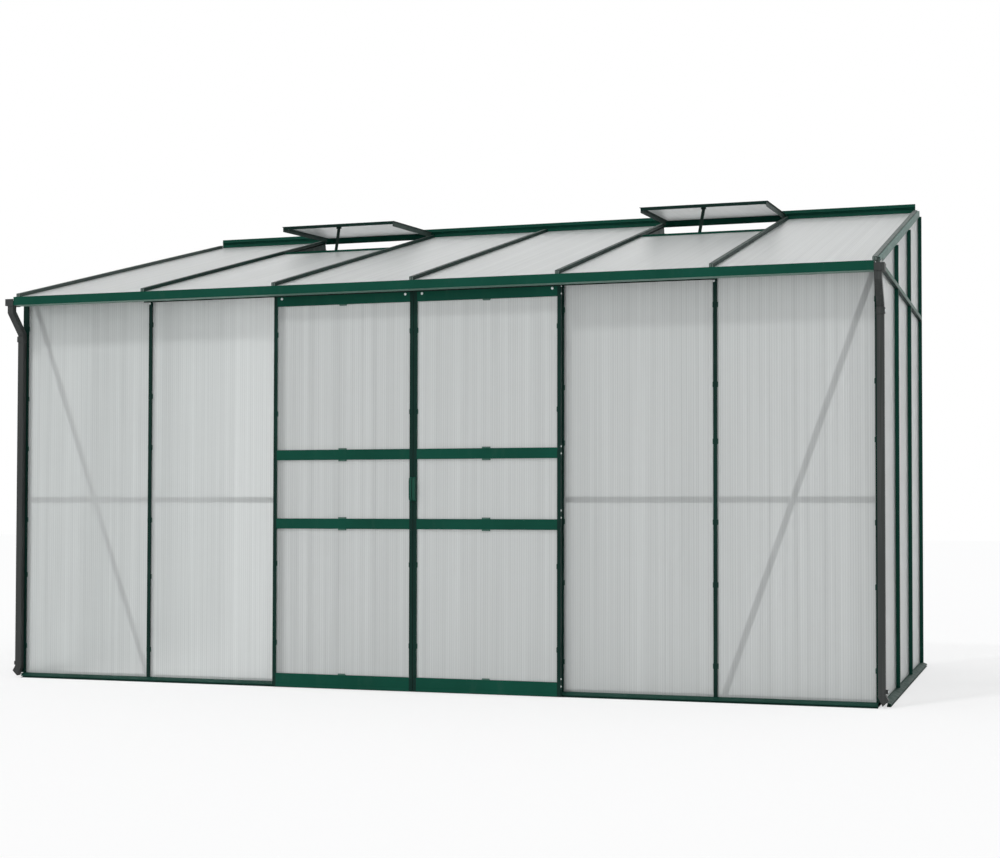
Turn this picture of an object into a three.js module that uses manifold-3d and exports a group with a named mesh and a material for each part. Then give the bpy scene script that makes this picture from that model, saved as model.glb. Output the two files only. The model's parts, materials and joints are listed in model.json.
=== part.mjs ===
import * as THREE from 'three';
import { mergeVertices } from 'three/addons/utils/BufferGeometryUtils.js';
import Module from 'manifold-3d';

// A lean-to greenhouse: an aluminium bar frame with a sloping roof, glazed with thin twin-wall sheets,
// two sliding doors in the middle of the front and two hinged vents in the roof.
// Millimetres, +Z up. While it is built, x = 0 is the middle of the front, y = 0 is the outer face of
// the front sheets and grows towards the house, and z = 0 is the ground. The whole is moved at the end
// so that the origin lies under the middle of its box.

// The grid of bays
const BAYS_WIDE = 6;
const BAYS_DEEP = 3;
const BAY_PITCH = 628;
const SIDE_BAR_ADVANCE = 16.5; // the side bars stand this far in front of whole bays
const WALL_POST_SEAT = 32.5; // the last bar's seat runs this far back to the house
const DEPTH = BAYS_DEEP * BAY_PITCH - SIDE_BAR_ADVANCE + WALL_POST_SEAT; // from the front sheets to the house
const DOOR_BAYS = 2;
const VENT_BAYS_OUT = 1.5; // a vent's middle, in bays from the middle of the front

// Sheets and the clearance that every fit keeps
const SHEET = 4;
const FIT = 0.3;
const SHEET_SIDE_GAP = 0.5;
const OVERRUN = 60; // how far a cutting solid runs past what it cuts
const WALL = 1.6; // thickness of a drawn profile's walls

// Glazing bars
const BAR_WIDTH = 18;
const FRONT_BAR_WIDTH = 15;
const BAR_WEB = 3;
const BAR_SEAT_WIDTH = 24;
const BAR_FOOT_WIDTH = 12;
const WALL_BAR_CAP = 7; // how far the front bars and corner posts stand out from the sheets
const SIDE_BAR_CAP = 16; // and the side bars and wall posts
const WALL_BAR_DEPTH = 32; // how far it reaches inside them
const ROOF_BAR_CAP = 15;
const ROOF_BAR_DEPTH = 40;

// Corners and the frame's inner face
const SIDE_SHEET_OUT = 11.8; // the side sheets' outer face, outside the corner line
const BAR_TO_LEG = 4; // from the wall bars' feet to the inner faces of the sills and the eave
const FRAME_DEPTH = WALL_BAR_DEPTH + BAR_TO_LEG;
const CORNER_LIP = 18; // how far a corner post covers the side sheet

// Sills
const SILL_HEIGHT = 20;
const SILL_EDGE = 11;
const SILL_LEDGE = 24; // the drip ledge, beyond the bars
const SILL_WALL = 2;
const SILL_FOOT = 22;
const GROOVE_FLOOR = 2; // the slot in the sill's nose that keeps the doors in
const GROOVE_ROOF = 7;
const GROOVE_DEPTH = 13;

// Eave beam with its gutter
const EAVE_PLATE = 1693; // height of the beam's underside, over the door track
const EAVE_LEG = 19; // length of the legs that hang from it around the sheets
const EAVE_LEG_BOTTOM = EAVE_PLATE - EAVE_LEG;
const EAVE_LEDGE = 22;
const FRONT_SHEET_HEAD_GAP = 8;
const FRONT_SHEET_TOP = EAVE_PLATE - FRONT_SHEET_HEAD_GAP;
const GUTTER_BACK = -60;
const GUTTER_WIDTH = 56;
const GUTTER_FRONT = GUTTER_BACK - GUTTER_WIDTH;
const GUTTER_DROP = 31; // the gutter's bottom and top, below and above the beam's underside
const GUTTER_RISE = 6;
const GUTTER_BOTTOM = EAVE_PLATE - GUTTER_DROP;
const GUTTER_TOP = EAVE_PLATE + GUTTER_RISE;
const GUTTER_WALL = 2;
const GUTTER_LIP = 10;

// Roof
const SLOPE_DEGREES = 14.5;
const ROOF_BAR_REACH = 20; // how far the roof bars run out over the gutter
const ROOF_RISE = 9.8; // the roof sheets' top face there, above the beam's underside
const EAVE_Y = GUTTER_BACK - ROOF_BAR_REACH;
const EAVE_Z = EAVE_PLATE + ROOF_RISE;
const SHEET_OVERHANG = 6;
const SKIRT_TOP = 10; // the end bars' outer skirt, above and below the sheets' top face
const SKIRT_BOTTOM = -18;
const SIDE_SHEET_TOP = -7;

// Wall plate with its hinge groove. Its heights are taken from the roof sheets' top face at its front.
const PLATE_DROP = 7.5;
const PLATE_RISE = 44;
const PLATE_DEPTH = 13;
const PLATE_WALL = 2;
const PLATE_END = 3; // the plate stops this far inside the corner lines
const HINGE_RISE = 25.5;
const HINGE_OUT = 4.4; // the hinge line in front of the plate's face
const HINGE_BEAD = 3;
const HINGE_GROOVE = 3.4;
const HINGE_CURL = 5;
const CURL_OPEN_FROM = 152; // the curl's mouth, in degrees from the house side
const CURL_OPEN_TO = 226;
const CURL_STEPS = 14;
const BEAD_SIDES = 16;

// Doors, hung from rollers in a track under the eave
const TRACK_SETBACK = 4;
const TRACK_DEPTH = 32;
const TRACK_HEIGHT = 29;
const TRACK_FRONT = GUTTER_BACK + TRACK_SETBACK;
const TRACK_BACK = TRACK_FRONT + TRACK_DEPTH;
const TRACK_BOTTOM = EAVE_PLATE - TRACK_HEIGHT;
const TRACK_LIP = 9;
const DOOR_MEETING_GAP = 1; // each door's edge from the middle line
const DOOR_LAP = 8; // beyond the doorway's side
const DOOR_WIDTH = (DOOR_BAYS / 2) * BAY_PITCH + DOOR_LAP - DOOR_MEETING_GAP;
const DOOR_SETBACK = 4;
const DOOR_DEPTH = 19;
const DOOR_HEAD_GAP = 4;
const DOOR_FRONT = TRACK_FRONT + DOOR_SETBACK;
const DOOR_BACK = DOOR_FRONT + DOOR_DEPTH;
const DOOR_BOTTOM = 4;
const DOOR_TOP = TRACK_BOTTOM - DOOR_HEAD_GAP;
const DOOR_STILE = 15;
const BOTTOM_RAIL_TOP = 60.5;
const LOWER_RAIL_MIDDLE = 693.8;
const UPPER_RAIL_MIDDLE = 983.8;
const MIDDLE_RAIL_HEIGHT = 43;
const TOP_RAIL_HEIGHT = 42.4;
const DOOR_SHEET_SETBACK = 6;
const DOOR_SHEET_FRONT = DOOR_FRONT + DOOR_SHEET_SETBACK;
const DOOR_SHEET_BITE = 6; // how far inside the frame's outer edge the sheet ends
const DOOR_CLIP_LENGTH = 35;
const DOOR_CLIP_RISE = 6;
const DOOR_CLIP_FACE = 0.5; // a clip's face behind the frame's face
const TONGUE_GRIP = 9; // how deep the door's tongue reaches into the sill's slot
const TONGUE_THICKNESS = 2;
const TONGUE_INSET = 5;
const TRACK_END_SHORT = 8; // the track's ends stop short of two doors' widths
const TRACK_REACH = 2 * DOOR_WIDTH - TRACK_END_SHORT;
const ROLLER_RADIUS = 10;
const ROLLER_CORE = 6;
const ROLLER_LENGTH = 26;
const ROLLER_TREAD = 5.5;
const ROLLER_SIDES = 20;
const ROLLER_INSET = 30; // a roller's axis from the door's edge
const HANGER_WIDTH = 24;
const HANGER_THICKNESS = 2;
const HANGER_RISE = 10; // above the roller's axis
const HANGER_ROOT = 3;
const HANGER_BORE_GAP = 0.4;
const PULL_HEIGHT = 100;
const PULL_REACH = 14;
const PULL_FACE_REACH = 11;
const PULL_WIDTH = 12;
const PULL_INSET = 0.5;
const PULL_END_SLOPE = 5;
const PULL_TIP_SLOPE = 18;

// Roof vents
const VENT_LENGTH = 565; // from the hinge line to the front edge
const VENT_OPEN_DEGREES = 11.5;
const VENT_LEAF = 1; // the leaf's top face above the hinge line
const VENT_NECK = 0.8; // half the thickness of the strip between the leaf and its bead
const VENT_FLANGE_SIDE_GAP = 5; // the leaf's top flange ends this far inside the bay lines
const VENT_LEG_GAP = 2; // the leaf's legs stand this far inside the roof bars
const VENT_FRONT_LEG = 16;
const VENT_BORDER = 15; // width of the leaf's border inside its legs
const VENT_FRONT_BORDER = 28;
const VENT_REAR = 9; // the rear bar's back face from the hinge line
const VENT_LAP = 9.4; // the closed leaf's front edge over the vent sill
const VENT_SILL_DEPTH = 26;
const VENT_SILL_LOWER_LIP = 20;
const VENT_SILL_UPSTAND = 8;
const VENT_SILL_DROP = -12;
const STAY_PIVOT_BACK = 20; // from the leaf's front edge
const STAY_PIVOT_DROP = 16; // below the hinge line's level
const STAY_BARREL = 5;
const STAY_BORE = 2.8;
const STAY_PIN = 2.4;
const STAY_SIDES = 16;
const STAY_WIDTH = 16;
const STAY_THICKNESS = 2.5;
const STAY_ROOT = 3.8;
const STAY_LENGTH = 140;
const STAY_SIDE_DRIFT = -28;
const STAY_LEAN_DEGREES = 8.5;
const LUG_THICKNESS = 3;
const LUG_GAP = 0.4;
const LUG_HALF_LENGTH = 7;
const LUG_DROP = 5.5;

// Bracing
const MID_RAIL_Z = 795;
const MID_RAIL_HEIGHT = 25;
const MID_RAIL_THICKNESS = 3.6;
const BRACE_WIDTH = 24;
const BRACE_THICKNESS = 3;
const BRACE_TOP_IN = 17.4; // the diagonal's ends: inside the corner line, and below the beam or above ground
const BRACE_TOP_DROP = 13;
const BRACE_TOP_Z = EAVE_PLATE - BRACE_TOP_DROP;
const BRACE_FOOT_IN = 606;
const BRACE_FOOT_Z = 8;
const TIE_DROP = 15;
const TIE_BOTTOM = EAVE_PLATE - TIE_DROP;
const TIE_HEIGHT = 20;
const TIE_TOP = TIE_BOTTOM + TIE_HEIGHT;

// Downpipes
const CAP_LENGTH = 40;
const CAP_WALL = 2.5;
const CAP_PROUD = 3; // in front of the gutter
const CAP_DROP = 2.3; // below the gutter
const CAP_TOP_DROP = 9; // the cap's open top, below the gutter's
const CAP_BOTTOM = GUTTER_BOTTOM - CAP_DROP;
const CAP_TOP = GUTTER_TOP - CAP_TOP_DROP;
const PIPE_WIDTH = 28;
const PIPE_DEPTH = 25;
const PIPE_WALL = 2;
const SLEEVE = 0.8; // how far the collar and the shoe stand out from the pipe
const NECK_SETBACK = 12.5; // the neck's middle behind the gutter's front
const NECK_STRAIGHT = 27.7; // its upright length under the cap
const NECK_FALL = 92; // the height of its slanting length
const NECK_MIDDLE = GUTTER_FRONT + NECK_SETBACK;
const NECK_BEND_Z = CAP_BOTTOM - NECK_STRAIGHT;
const PIPE_BEND_Z = NECK_BEND_Z - NECK_FALL;
const PIPE_FOOT_Z = 8;
const COLLAR_DROP = 35;
const COLLAR_BOTTOM = PIPE_BEND_Z - COLLAR_DROP;
const COLLAR_HEIGHT = 25;
const COLLAR_PROUD = 3;
const SHOE_TOP = 50;
const SHOE_BEND = 43; // where the shoe's inner face starts to lean out
const SHOE_HEEL = -11; // the mouth's low and high edges, beyond the pipe's outer face
const SHOE_REACH = 12;
const SHOE_LIP = 30;
const LUG_BAND_BOTTOM = 56;
const LUG_BAND_HEIGHT = 16;
const LUG_BAND_REACH = 9;
const LUG_BAND_DEPTH = 12;

// Places worked out from the sizes above
const SLOPE = THREE.MathUtils.degToRad(SLOPE_DEGREES);
const CORNER_X = (BAYS_WIDE * BAY_PITCH) / 2;
const SIDE_SHEET_X = CORNER_X + SIDE_SHEET_OUT;
const SIDE_FACE_X = SIDE_SHEET_X + WALL_BAR_CAP;
const POST_OUT = SIDE_SHEET_OUT + WALL_BAR_CAP;
const SEAT_DEPTH = SHEET + FIT; // where a bar's seat lies, inside the sheet's outer face
const SEAT_BACK = SEAT_DEPTH + WALL;
const BAR_TOP = EAVE_LEG_BOTTOM - FIT;
const SHEET_BOTTOM = SILL_HEIGHT + FIT;
const SHEET_FROM_LINE = BAR_WEB / 2 + SHEET_SIDE_GAP;
const PLATE_FACE = DEPTH - PLATE_DEPTH;
const HINGE_Y = PLATE_FACE - HINGE_OUT;
const TONGUE_BACK = TONGUE_GRIP - WALL_BAR_CAP - SILL_LEDGE;
const TOP_RAIL_BOTTOM = DOOR_TOP - TOP_RAIL_HEIGHT;
const PULL_BOTTOM = (LOWER_RAIL_MIDDLE + UPPER_RAIL_MIDDLE - PULL_HEIGHT) / 2;
const DOORWAY_REACH = (DOOR_BAYS / 2) * BAY_PITCH;
const ROLLER_Y = (TRACK_FRONT + TRACK_BACK) / 2;
const ROLLER_Z = TRACK_BOTTOM + WALL + FIT + ROLLER_RADIUS;
const REST_TILT = SLOPE - THREE.MathUtils.degToRad(VENT_OPEN_DEGREES);
const BAY_HALF = BAY_PITCH / 2;
const VENT_LEG_X = BAY_HALF - BAR_WIDTH / 2 - VENT_LEG_GAP;
const VENT_SLOT_BOTTOM = -VENT_LEAF - SHEET - 2 * FIT;
const VENT_BODY_BOTTOM = VENT_SLOT_BOTTOM - WALL;
const PIPE_BACK = -WALL_BAR_CAP - FIT - SLEEVE;
const PIPE_MIDDLE = PIPE_BACK - PIPE_DEPTH / 2;
const SIDES = [['left', -1], ['right', 1]];

// Height of a plane parallel to the roof, `above` the sheets' top face
const roofPlaneAt = (y, above) =>
  EAVE_Z + (y - EAVE_Y) * Math.tan(SLOPE) + above / Math.cos(SLOPE);

// The wall plate and the hinge line follow the roof at the plate's face
const PLATE_BOTTOM = roofPlaneAt(PLATE_FACE, 0) - PLATE_DROP;
const PLATE_TOP = roofPlaneAt(PLATE_FACE, 0) + PLATE_RISE;
const HINGE_Z = roofPlaneAt(PLATE_FACE, 0) + HINGE_RISE;

// The roof's own frame: its y runs up the slope from the bars' front ends, its z out of the roof
const roofMatrix = new THREE.Matrix4()
  .makeTranslation(0, EAVE_Y, EAVE_Z)
  .multiply(new THREE.Matrix4().makeRotationX(SLOPE));
const intoRoof = roofMatrix.clone().invert();
const roofPlace = (y, z) => new THREE.Vector3(0, y, z).applyMatrix4(intoRoof);
const HINGE_ON_ROOF = roofPlace(HINGE_Y, HINGE_Z);
const VENT_SILL_BACK = HINGE_ON_ROOF.y - VENT_LENGTH + VENT_LAP;
const VENT_LEG = HINGE_ON_ROOF.z + VENT_LEAF - FIT; // the closed leaf's legs end just above the roof sheets

// Solids
const wasm = await Module();
wasm.setup();

function solidOf(geometry) {
  const bare = geometry.clone();
  bare.deleteAttribute('normal');
  bare.deleteAttribute('uv');
  const merged = mergeVertices(bare);
  return new wasm.Manifold(new wasm.Mesh({
    numProp: 3,
    vertProperties: Float32Array.from(merged.attributes.position.array),
    triVerts: Uint32Array.from(merged.index.array),
  }));
}

function geometryOf(manifold) {
  const mesh = manifold.getMesh();
  const geometry = new THREE.BufferGeometry();
  geometry.setAttribute('position', new THREE.BufferAttribute(mesh.vertProperties, 3));
  geometry.setIndex(new THREE.BufferAttribute(mesh.triVerts, 1));
  geometry.computeVertexNormals();
  return geometry;
}

const join = (...parts) =>
  geometryOf(parts.map(solidOf).reduce((sum, part) => sum.add(part)));

const cut = (body, ...tools) =>
  geometryOf(tools.map(solidOf).reduce((rest, tool) => rest.subtract(tool), solidOf(body)));

const overlapOf = (a, b) => geometryOf(solidOf(a).intersect(solidOf(b)));

// A box from the two values it spans along each axis, in either order
function box([x0, x1], [y0, y1], [z0, z1]) {
  const size = [x1 - x0, y1 - y0, z1 - z0].map(Math.abs);
  return new THREE.BoxGeometry(...size).translate((x0 + x1) / 2, (y0 + y1) / 2, (z0 + z1) / 2);
}

// A closed outline drawn through its points
const outline = (points) => new THREE.Shape(points.map(([a, b]) => new THREE.Vector2(a, b)));

const extrude = (shape, length) =>
  new THREE.ExtrudeGeometry(shape, { depth: length, bevelEnabled: false, steps: 1 });

// Outlines of (y, z), (x, z) or (x, y) points, drawn out along the axis that is left
function alongX(points, [from, to]) {
  const axes = new THREE.Matrix4().makeBasis(
    new THREE.Vector3(0, 1, 0), new THREE.Vector3(0, 0, 1), new THREE.Vector3(1, 0, 0));
  return extrude(outline(points), to - from).applyMatrix4(axes).translate(from, 0, 0);
}

function alongY(points, [from, to]) {
  const axes = new THREE.Matrix4().makeBasis(
    new THREE.Vector3(1, 0, 0), new THREE.Vector3(0, 0, 1), new THREE.Vector3(0, -1, 0));
  return extrude(outline(points), to - from).applyMatrix4(axes).translate(0, to, 0);
}

const alongZ = (points, [from, to]) =>
  extrude(outline(points), to - from).translate(0, 0, from);

// A round bar along x
const rodX = (radius, length, sides) =>
  new THREE.CylinderGeometry(radius, radius, length, sides).rotateZ(Math.PI / 2);

// A band of constant width along a bent line of (a, b) points
function band(points, halfWidth) {
  const line = points.map(([a, b]) => new THREE.Vector2(a, b));
  const offsets = line.map((point, i) => {
    const into = point.clone().sub(line[Math.max(i - 1, 0)]).normalize();
    const out = line[Math.min(i + 1, line.length - 1)].clone().sub(point).normalize();
    const before = i === 0 ? out : into;
    const after = i === line.length - 1 ? into : out;
    const side = (d) => new THREE.Vector2(-d.y, d.x);
    const miter = side(before).add(side(after)).normalize();
    return miter.multiplyScalar(halfWidth / miter.dot(side(before)));
  });
  const left = line.map((p, i) => [p.x + offsets[i].x, p.y + offsets[i].y]);
  const right = line.map((p, i) => [p.x - offsets[i].x, p.y - offsets[i].y]);
  return [...left, ...right.reverse()];
}

// Finishes: each piece gets a material of its own
const finish = (color, roughness, metalness) =>
  () => new THREE.MeshStandardMaterial({ color, roughness, metalness });
const greenPaint = finish(0x1c4a3e, 0.45, 0.3);
const darkGreenPaint = finish(0x14332b, 0.45, 0.3);
const greyPlastic = finish(0x3d403e, 0.6, 0);
const brightMetal = finish(0xb9bec0, 0.35, 0.9);
const twinWall = finish(0xc9cfcc, 0.35, 0);

function add(parent, name, geometry, material, [x, y, z] = [0, 0, 0]) {
  const mesh = new THREE.Mesh(geometry, material());
  mesh.name = name;
  mesh.position.set(x, y, z);
  parent.add(mesh);
}

// A glazing bar's section: (across, out) points, with the sheets' outer face at out = 0.
// It has a cap over the sheets' edges, a web between them, a seat behind them and an inner foot.
// The points in skirt and seat stand in for the lip's edge and the seat's end on its positive side.
const plainSeat = [[BAR_SEAT_WIDTH / 2, -SEAT_DEPTH], [BAR_SEAT_WIDTH / 2, -SEAT_BACK]];

function barSection(cap, depth, { width = BAR_WIDTH, skirt = [], seat = plainSeat } = {}) {
  const half = (skirtPoints, seatPoints) => [
    [width / 2, cap],
    ...skirtPoints,
    [width / 2, FIT],
    [width / 2 - WALL, FIT],
    [width / 2 - WALL, cap - WALL],
    [BAR_WEB / 2, cap - WALL],
    [BAR_WEB / 2, -SEAT_DEPTH],
    ...seatPoints,
    [BAR_WEB / 2, -SEAT_BACK],
    [BAR_WEB / 2, WALL - depth],
    [BAR_FOOT_WIDTH / 2, WALL - depth],
    [BAR_FOOT_WIDTH / 2, -depth],
  ];
  const mirrored = half([], plainSeat).map(([across, out]) => [-across, out]).reverse();
  return [...half(skirt, seat), ...mirrored];
}

// The sill's section: (out, height) points, open underneath, with a sloping drip ledge and a slot in its nose
function sillSection() {
  const nose = WALL_BAR_CAP + SILL_LEDGE;
  const grooveBack = nose - GROOVE_DEPTH;
  return [
    [nose, 0],
    [nose, GROOVE_FLOOR],
    [grooveBack, GROOVE_FLOOR],
    [grooveBack, GROOVE_ROOF],
    [nose, GROOVE_ROOF],
    [nose, SILL_EDGE],
    [WALL_BAR_CAP, SILL_HEIGHT],
    [-FRAME_DEPTH, SILL_HEIGHT],
    [-FRAME_DEPTH, 0],
    [SILL_FOOT - FRAME_DEPTH, 0],
    [SILL_FOOT - FRAME_DEPTH, SILL_WALL],
    [SILL_WALL - FRAME_DEPTH, SILL_WALL],
    [SILL_WALL - FRAME_DEPTH, SILL_HEIGHT - SILL_WALL],
    [WALL_BAR_CAP - SILL_WALL / 2, SILL_HEIGHT - SILL_WALL],
    [nose - SILL_WALL, GROOVE_ROOF + SILL_WALL],
    [grooveBack - SILL_WALL, GROOVE_ROOF + SILL_WALL],
    [grooveBack - SILL_WALL, 0],
  ];
}

// An (out, height) section carried along one side, the front and the other side, mitred at both corners
function aroundSides(section) {
  const points = section.map(([out, z]) => new THREE.Vector2(out, z));
  const stations = [
    (out) => [-SIDE_SHEET_X - out, DEPTH],
    (out) => [-SIDE_SHEET_X - out, -out],
    (out) => [SIDE_SHEET_X + out, -out],
    (out) => [SIDE_SHEET_X + out, DEPTH],
  ];
  const count = points.length;
  const lastRing = (stations.length - 1) * count;
  const walls = stations.slice(1).flatMap((_, station) => points.flatMap((__, i) => {
    const here = station * count + i;
    const next = station * count + ((i + 1) % count);
    return [next, here, here + count, next, here + count, next + count];
  }));
  const turned = ([a, b, c]) =>
    (THREE.ShapeUtils.area([points[a], points[b], points[c]]) > 0 ? [a, b, c] : [a, c, b]);
  const cap = THREE.ShapeUtils.triangulateShape(points, []).map(turned);
  const geometry = new THREE.BufferGeometry();
  geometry.setAttribute('position', new THREE.Float32BufferAttribute(
    stations.flatMap((place) => points.flatMap(({ x, y }) => [...place(x), y])), 3));
  geometry.setIndex([
    ...walls,
    ...cap.flat(),
    ...cap.flatMap((face) => face.map((i) => lastRing + i).reverse()),
  ]);
  return geometry;
}

// The front sill ends at the corner lines, and the side sills start behind it
function baseFrame() {
  const corners = SIDES.map(([, side]) => box([side * CORNER_X, side * (SIDE_FACE_X + OVERRUN)],
    [-OVERRUN, FRAME_DEPTH], [-OVERRUN, OVERRUN]));
  return cut(aroundSides(sillSection()), ...corners);
}

// A tool that takes away everything above a plane parallel to the roof, between two x values
const aboveRoofPlane = (above, [x0, x1]) =>
  box([x0, x1], [-DEPTH, 2 * DEPTH], [above, DEPTH]).applyMatrix4(roofMatrix);

// A corner post: a square tube with a cap and seat for the front sheet and another pair for the side sheet
function cornerPost(side) {
  const half = BAR_WEB / 2;
  const capEdge = FRONT_BAR_WIDTH / 2;
  const sideSeat = SIDE_SHEET_OUT - SEAT_DEPTH;
  const section = [
    [POST_OUT, -WALL_BAR_CAP],
    [-capEdge, -WALL_BAR_CAP],
    [-capEdge, -FIT],
    [WALL - capEdge, -FIT],
    [WALL - capEdge, WALL - WALL_BAR_CAP],
    [-half, WALL - WALL_BAR_CAP],
    [-half, SEAT_DEPTH],
    [-BAR_SEAT_WIDTH / 2, SEAT_DEPTH],
    [-BAR_SEAT_WIDTH / 2, SEAT_BACK],
    [-half, SEAT_BACK],
    [-half, WALL_BAR_DEPTH - WALL],
    [-BAR_FOOT_WIDTH / 2, WALL_BAR_DEPTH - WALL],
    [-BAR_FOOT_WIDTH / 2, WALL_BAR_DEPTH],
    [BAR_FOOT_WIDTH / 2, WALL_BAR_DEPTH],
    [BAR_FOOT_WIDTH / 2, WALL_BAR_DEPTH - WALL],
    [half, WALL_BAR_DEPTH - WALL],
    [half, SEAT_BACK],
    [sideSeat - WALL, SEAT_BACK],
    [sideSeat - WALL, CORNER_LIP],
    [sideSeat, CORNER_LIP],
    [sideSeat, SEAT_BACK],
    [POST_OUT - WALL, SEAT_BACK],
    [POST_OUT - WALL, CORNER_LIP - WALL],
    [SIDE_SHEET_OUT + FIT, CORNER_LIP - WALL],
    [SIDE_SHEET_OUT + FIT, CORNER_LIP],
    [POST_OUT, CORNER_LIP],
  ].map(([out, y]) => [side * (CORNER_X + out), y]);
  const place = (out) => side * (CORNER_X + out);
  const bore = box([place(WALL - half), place(POST_OUT - WALL)],
    [WALL - WALL_BAR_CAP, SEAT_DEPTH], [0, EAVE_Z + OVERRUN]);
  const besideBeam = box([place(-BAR_SEAT_WIDTH), place(-half - FIT)],
    [-OVERRUN, OVERRUN], [BAR_TOP, EAVE_Z + OVERRUN]);
  const aboveSkirt = aboveRoofPlane(SKIRT_BOTTOM - FIT, [place(-OVERRUN), place(OVERRUN)]);
  return cut(alongZ(section, [SILL_HEIGHT, EAVE_Z + OVERRUN]), bore, besideBeam, aboveSkirt);
}

const frontBar = () =>
  alongZ(barSection(WALL_BAR_CAP, WALL_BAR_DEPTH, { width: FRONT_BAR_WIDTH })
    .map(([across, out]) => [across, -out]), [SILL_HEIGHT, BAR_TOP]);

// What the end roof bar takes away from a side bar: all above its skirt, and above its foot further in
function underEndBar(body, side) {
  const inner = side * (CORNER_X + BAR_WIDTH / 2 - WALL);
  return cut(body,
    aboveRoofPlane(SKIRT_BOTTOM - FIT, [side * (CORNER_X - FRAME_DEPTH - OVERRUN), side * (SIDE_FACE_X + OVERRUN)]),
    aboveRoofPlane(-ROOF_BAR_DEPTH - FIT, [side * (CORNER_X - FRAME_DEPTH - OVERRUN), inner]));
}

const sideBarY = (bay) => bay * BAY_PITCH - SIDE_BAR_ADVANCE;

// The notch through a side bar's or wall post's cap in which the side tie lies, flush with it
const tieNotch = (side) => box([side * SIDE_SHEET_X, side * (SIDE_SHEET_X + OVERRUN)], [0, DEPTH],
  [TIE_BOTTOM - FIT, TIE_TOP + FIT]);

function sideBar(side, bay) {
  const section = barSection(SIDE_BAR_CAP, WALL_BAR_DEPTH)
    .map(([across, out]) => [side * (SIDE_SHEET_X + out), sideBarY(bay) + across]);
  return cut(underEndBar(alongZ(section, [SILL_HEIGHT, PLATE_TOP]), side), tieNotch(side));
}

// A wall post: a side bar whose seat runs back to the house and turns in along it
function wallPost(side) {
  const y = sideBarY(BAYS_DEEP);
  const seat = [
    [WALL_POST_SEAT, -SEAT_DEPTH],
    [WALL_POST_SEAT, -FRAME_DEPTH],
    [WALL_POST_SEAT - SILL_WALL, -FRAME_DEPTH],
    [WALL_POST_SEAT - SILL_WALL, -SEAT_BACK],
  ];
  const section = barSection(SIDE_BAR_CAP, WALL_BAR_DEPTH, { seat })
    .map(([across, out]) => [side * (SIDE_SHEET_X + out), y + across]);
  return cut(underEndBar(alongZ(section, [SILL_HEIGHT, PLATE_TOP]), side), tieNotch(side));
}

// The eave beam: the gutter in front, a sloping ledge under the roof sheets, and a pocket over the front sheets
function eaveGutter() {
  const ledgeTop = (y) => roofPlaneAt(y, -SHEET - FIT);
  const ledgeFront = GUTTER_BACK - GUTTER_WALL;
  const ledgeBack = ledgeFront + EAVE_LEDGE;
  const plateTop = EAVE_PLATE + GUTTER_WALL;
  const section = [
    [GUTTER_FRONT, GUTTER_BOTTOM],
    [GUTTER_FRONT, GUTTER_TOP],
    [GUTTER_FRONT + GUTTER_LIP, GUTTER_TOP],
    [GUTTER_FRONT + GUTTER_LIP, GUTTER_TOP - GUTTER_WALL],
    [GUTTER_FRONT + GUTTER_WALL, GUTTER_TOP - GUTTER_WALL],
    [GUTTER_FRONT + GUTTER_WALL, GUTTER_BOTTOM + GUTTER_WALL],
    [ledgeFront, GUTTER_BOTTOM + GUTTER_WALL],
    [ledgeFront, ledgeTop(ledgeFront)],
    [ledgeBack, ledgeTop(ledgeBack)],
    [ledgeBack, ledgeTop(ledgeBack) - GUTTER_WALL],
    [GUTTER_BACK, ledgeTop(GUTTER_BACK) - GUTTER_WALL],
    [GUTTER_BACK, plateTop],
    [FRAME_DEPTH, plateTop],
    [FRAME_DEPTH, EAVE_LEG_BOTTOM],
    [FRAME_DEPTH - GUTTER_WALL, EAVE_LEG_BOTTOM],
    [FRAME_DEPTH - GUTTER_WALL, EAVE_PLATE],
    [SHEET + SHEET_SIDE_GAP + WALL, EAVE_PLATE],
    [SHEET + SHEET_SIDE_GAP + WALL, EAVE_LEG_BOTTOM],
    [SHEET + SHEET_SIDE_GAP, EAVE_LEG_BOTTOM],
    [SHEET + SHEET_SIDE_GAP, EAVE_PLATE],
    [-SHEET_SIDE_GAP, EAVE_PLATE],
    [-SHEET_SIDE_GAP, EAVE_LEG_BOTTOM],
    [-SHEET_SIDE_GAP - WALL, EAVE_LEG_BOTTOM],
    [-SHEET_SIDE_GAP - WALL, EAVE_PLATE],
    [GUTTER_BACK, EAVE_PLATE],
    [GUTTER_BACK, GUTTER_BOTTOM],
  ];
  const postRooms = SIDES.map(([, side]) =>
    box([side * (CORNER_X - BAR_WEB / 2 - 2 * FIT), side * (CORNER_X + OVERRUN)],
      [-WALL_BAR_CAP - FIT, FRAME_DEPTH + OVERRUN], [GUTTER_BOTTOM, EAVE_Z + OVERRUN]));
  return cut(alongX(section, [-CORNER_X, CORNER_X]), ...postRooms);
}

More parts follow.
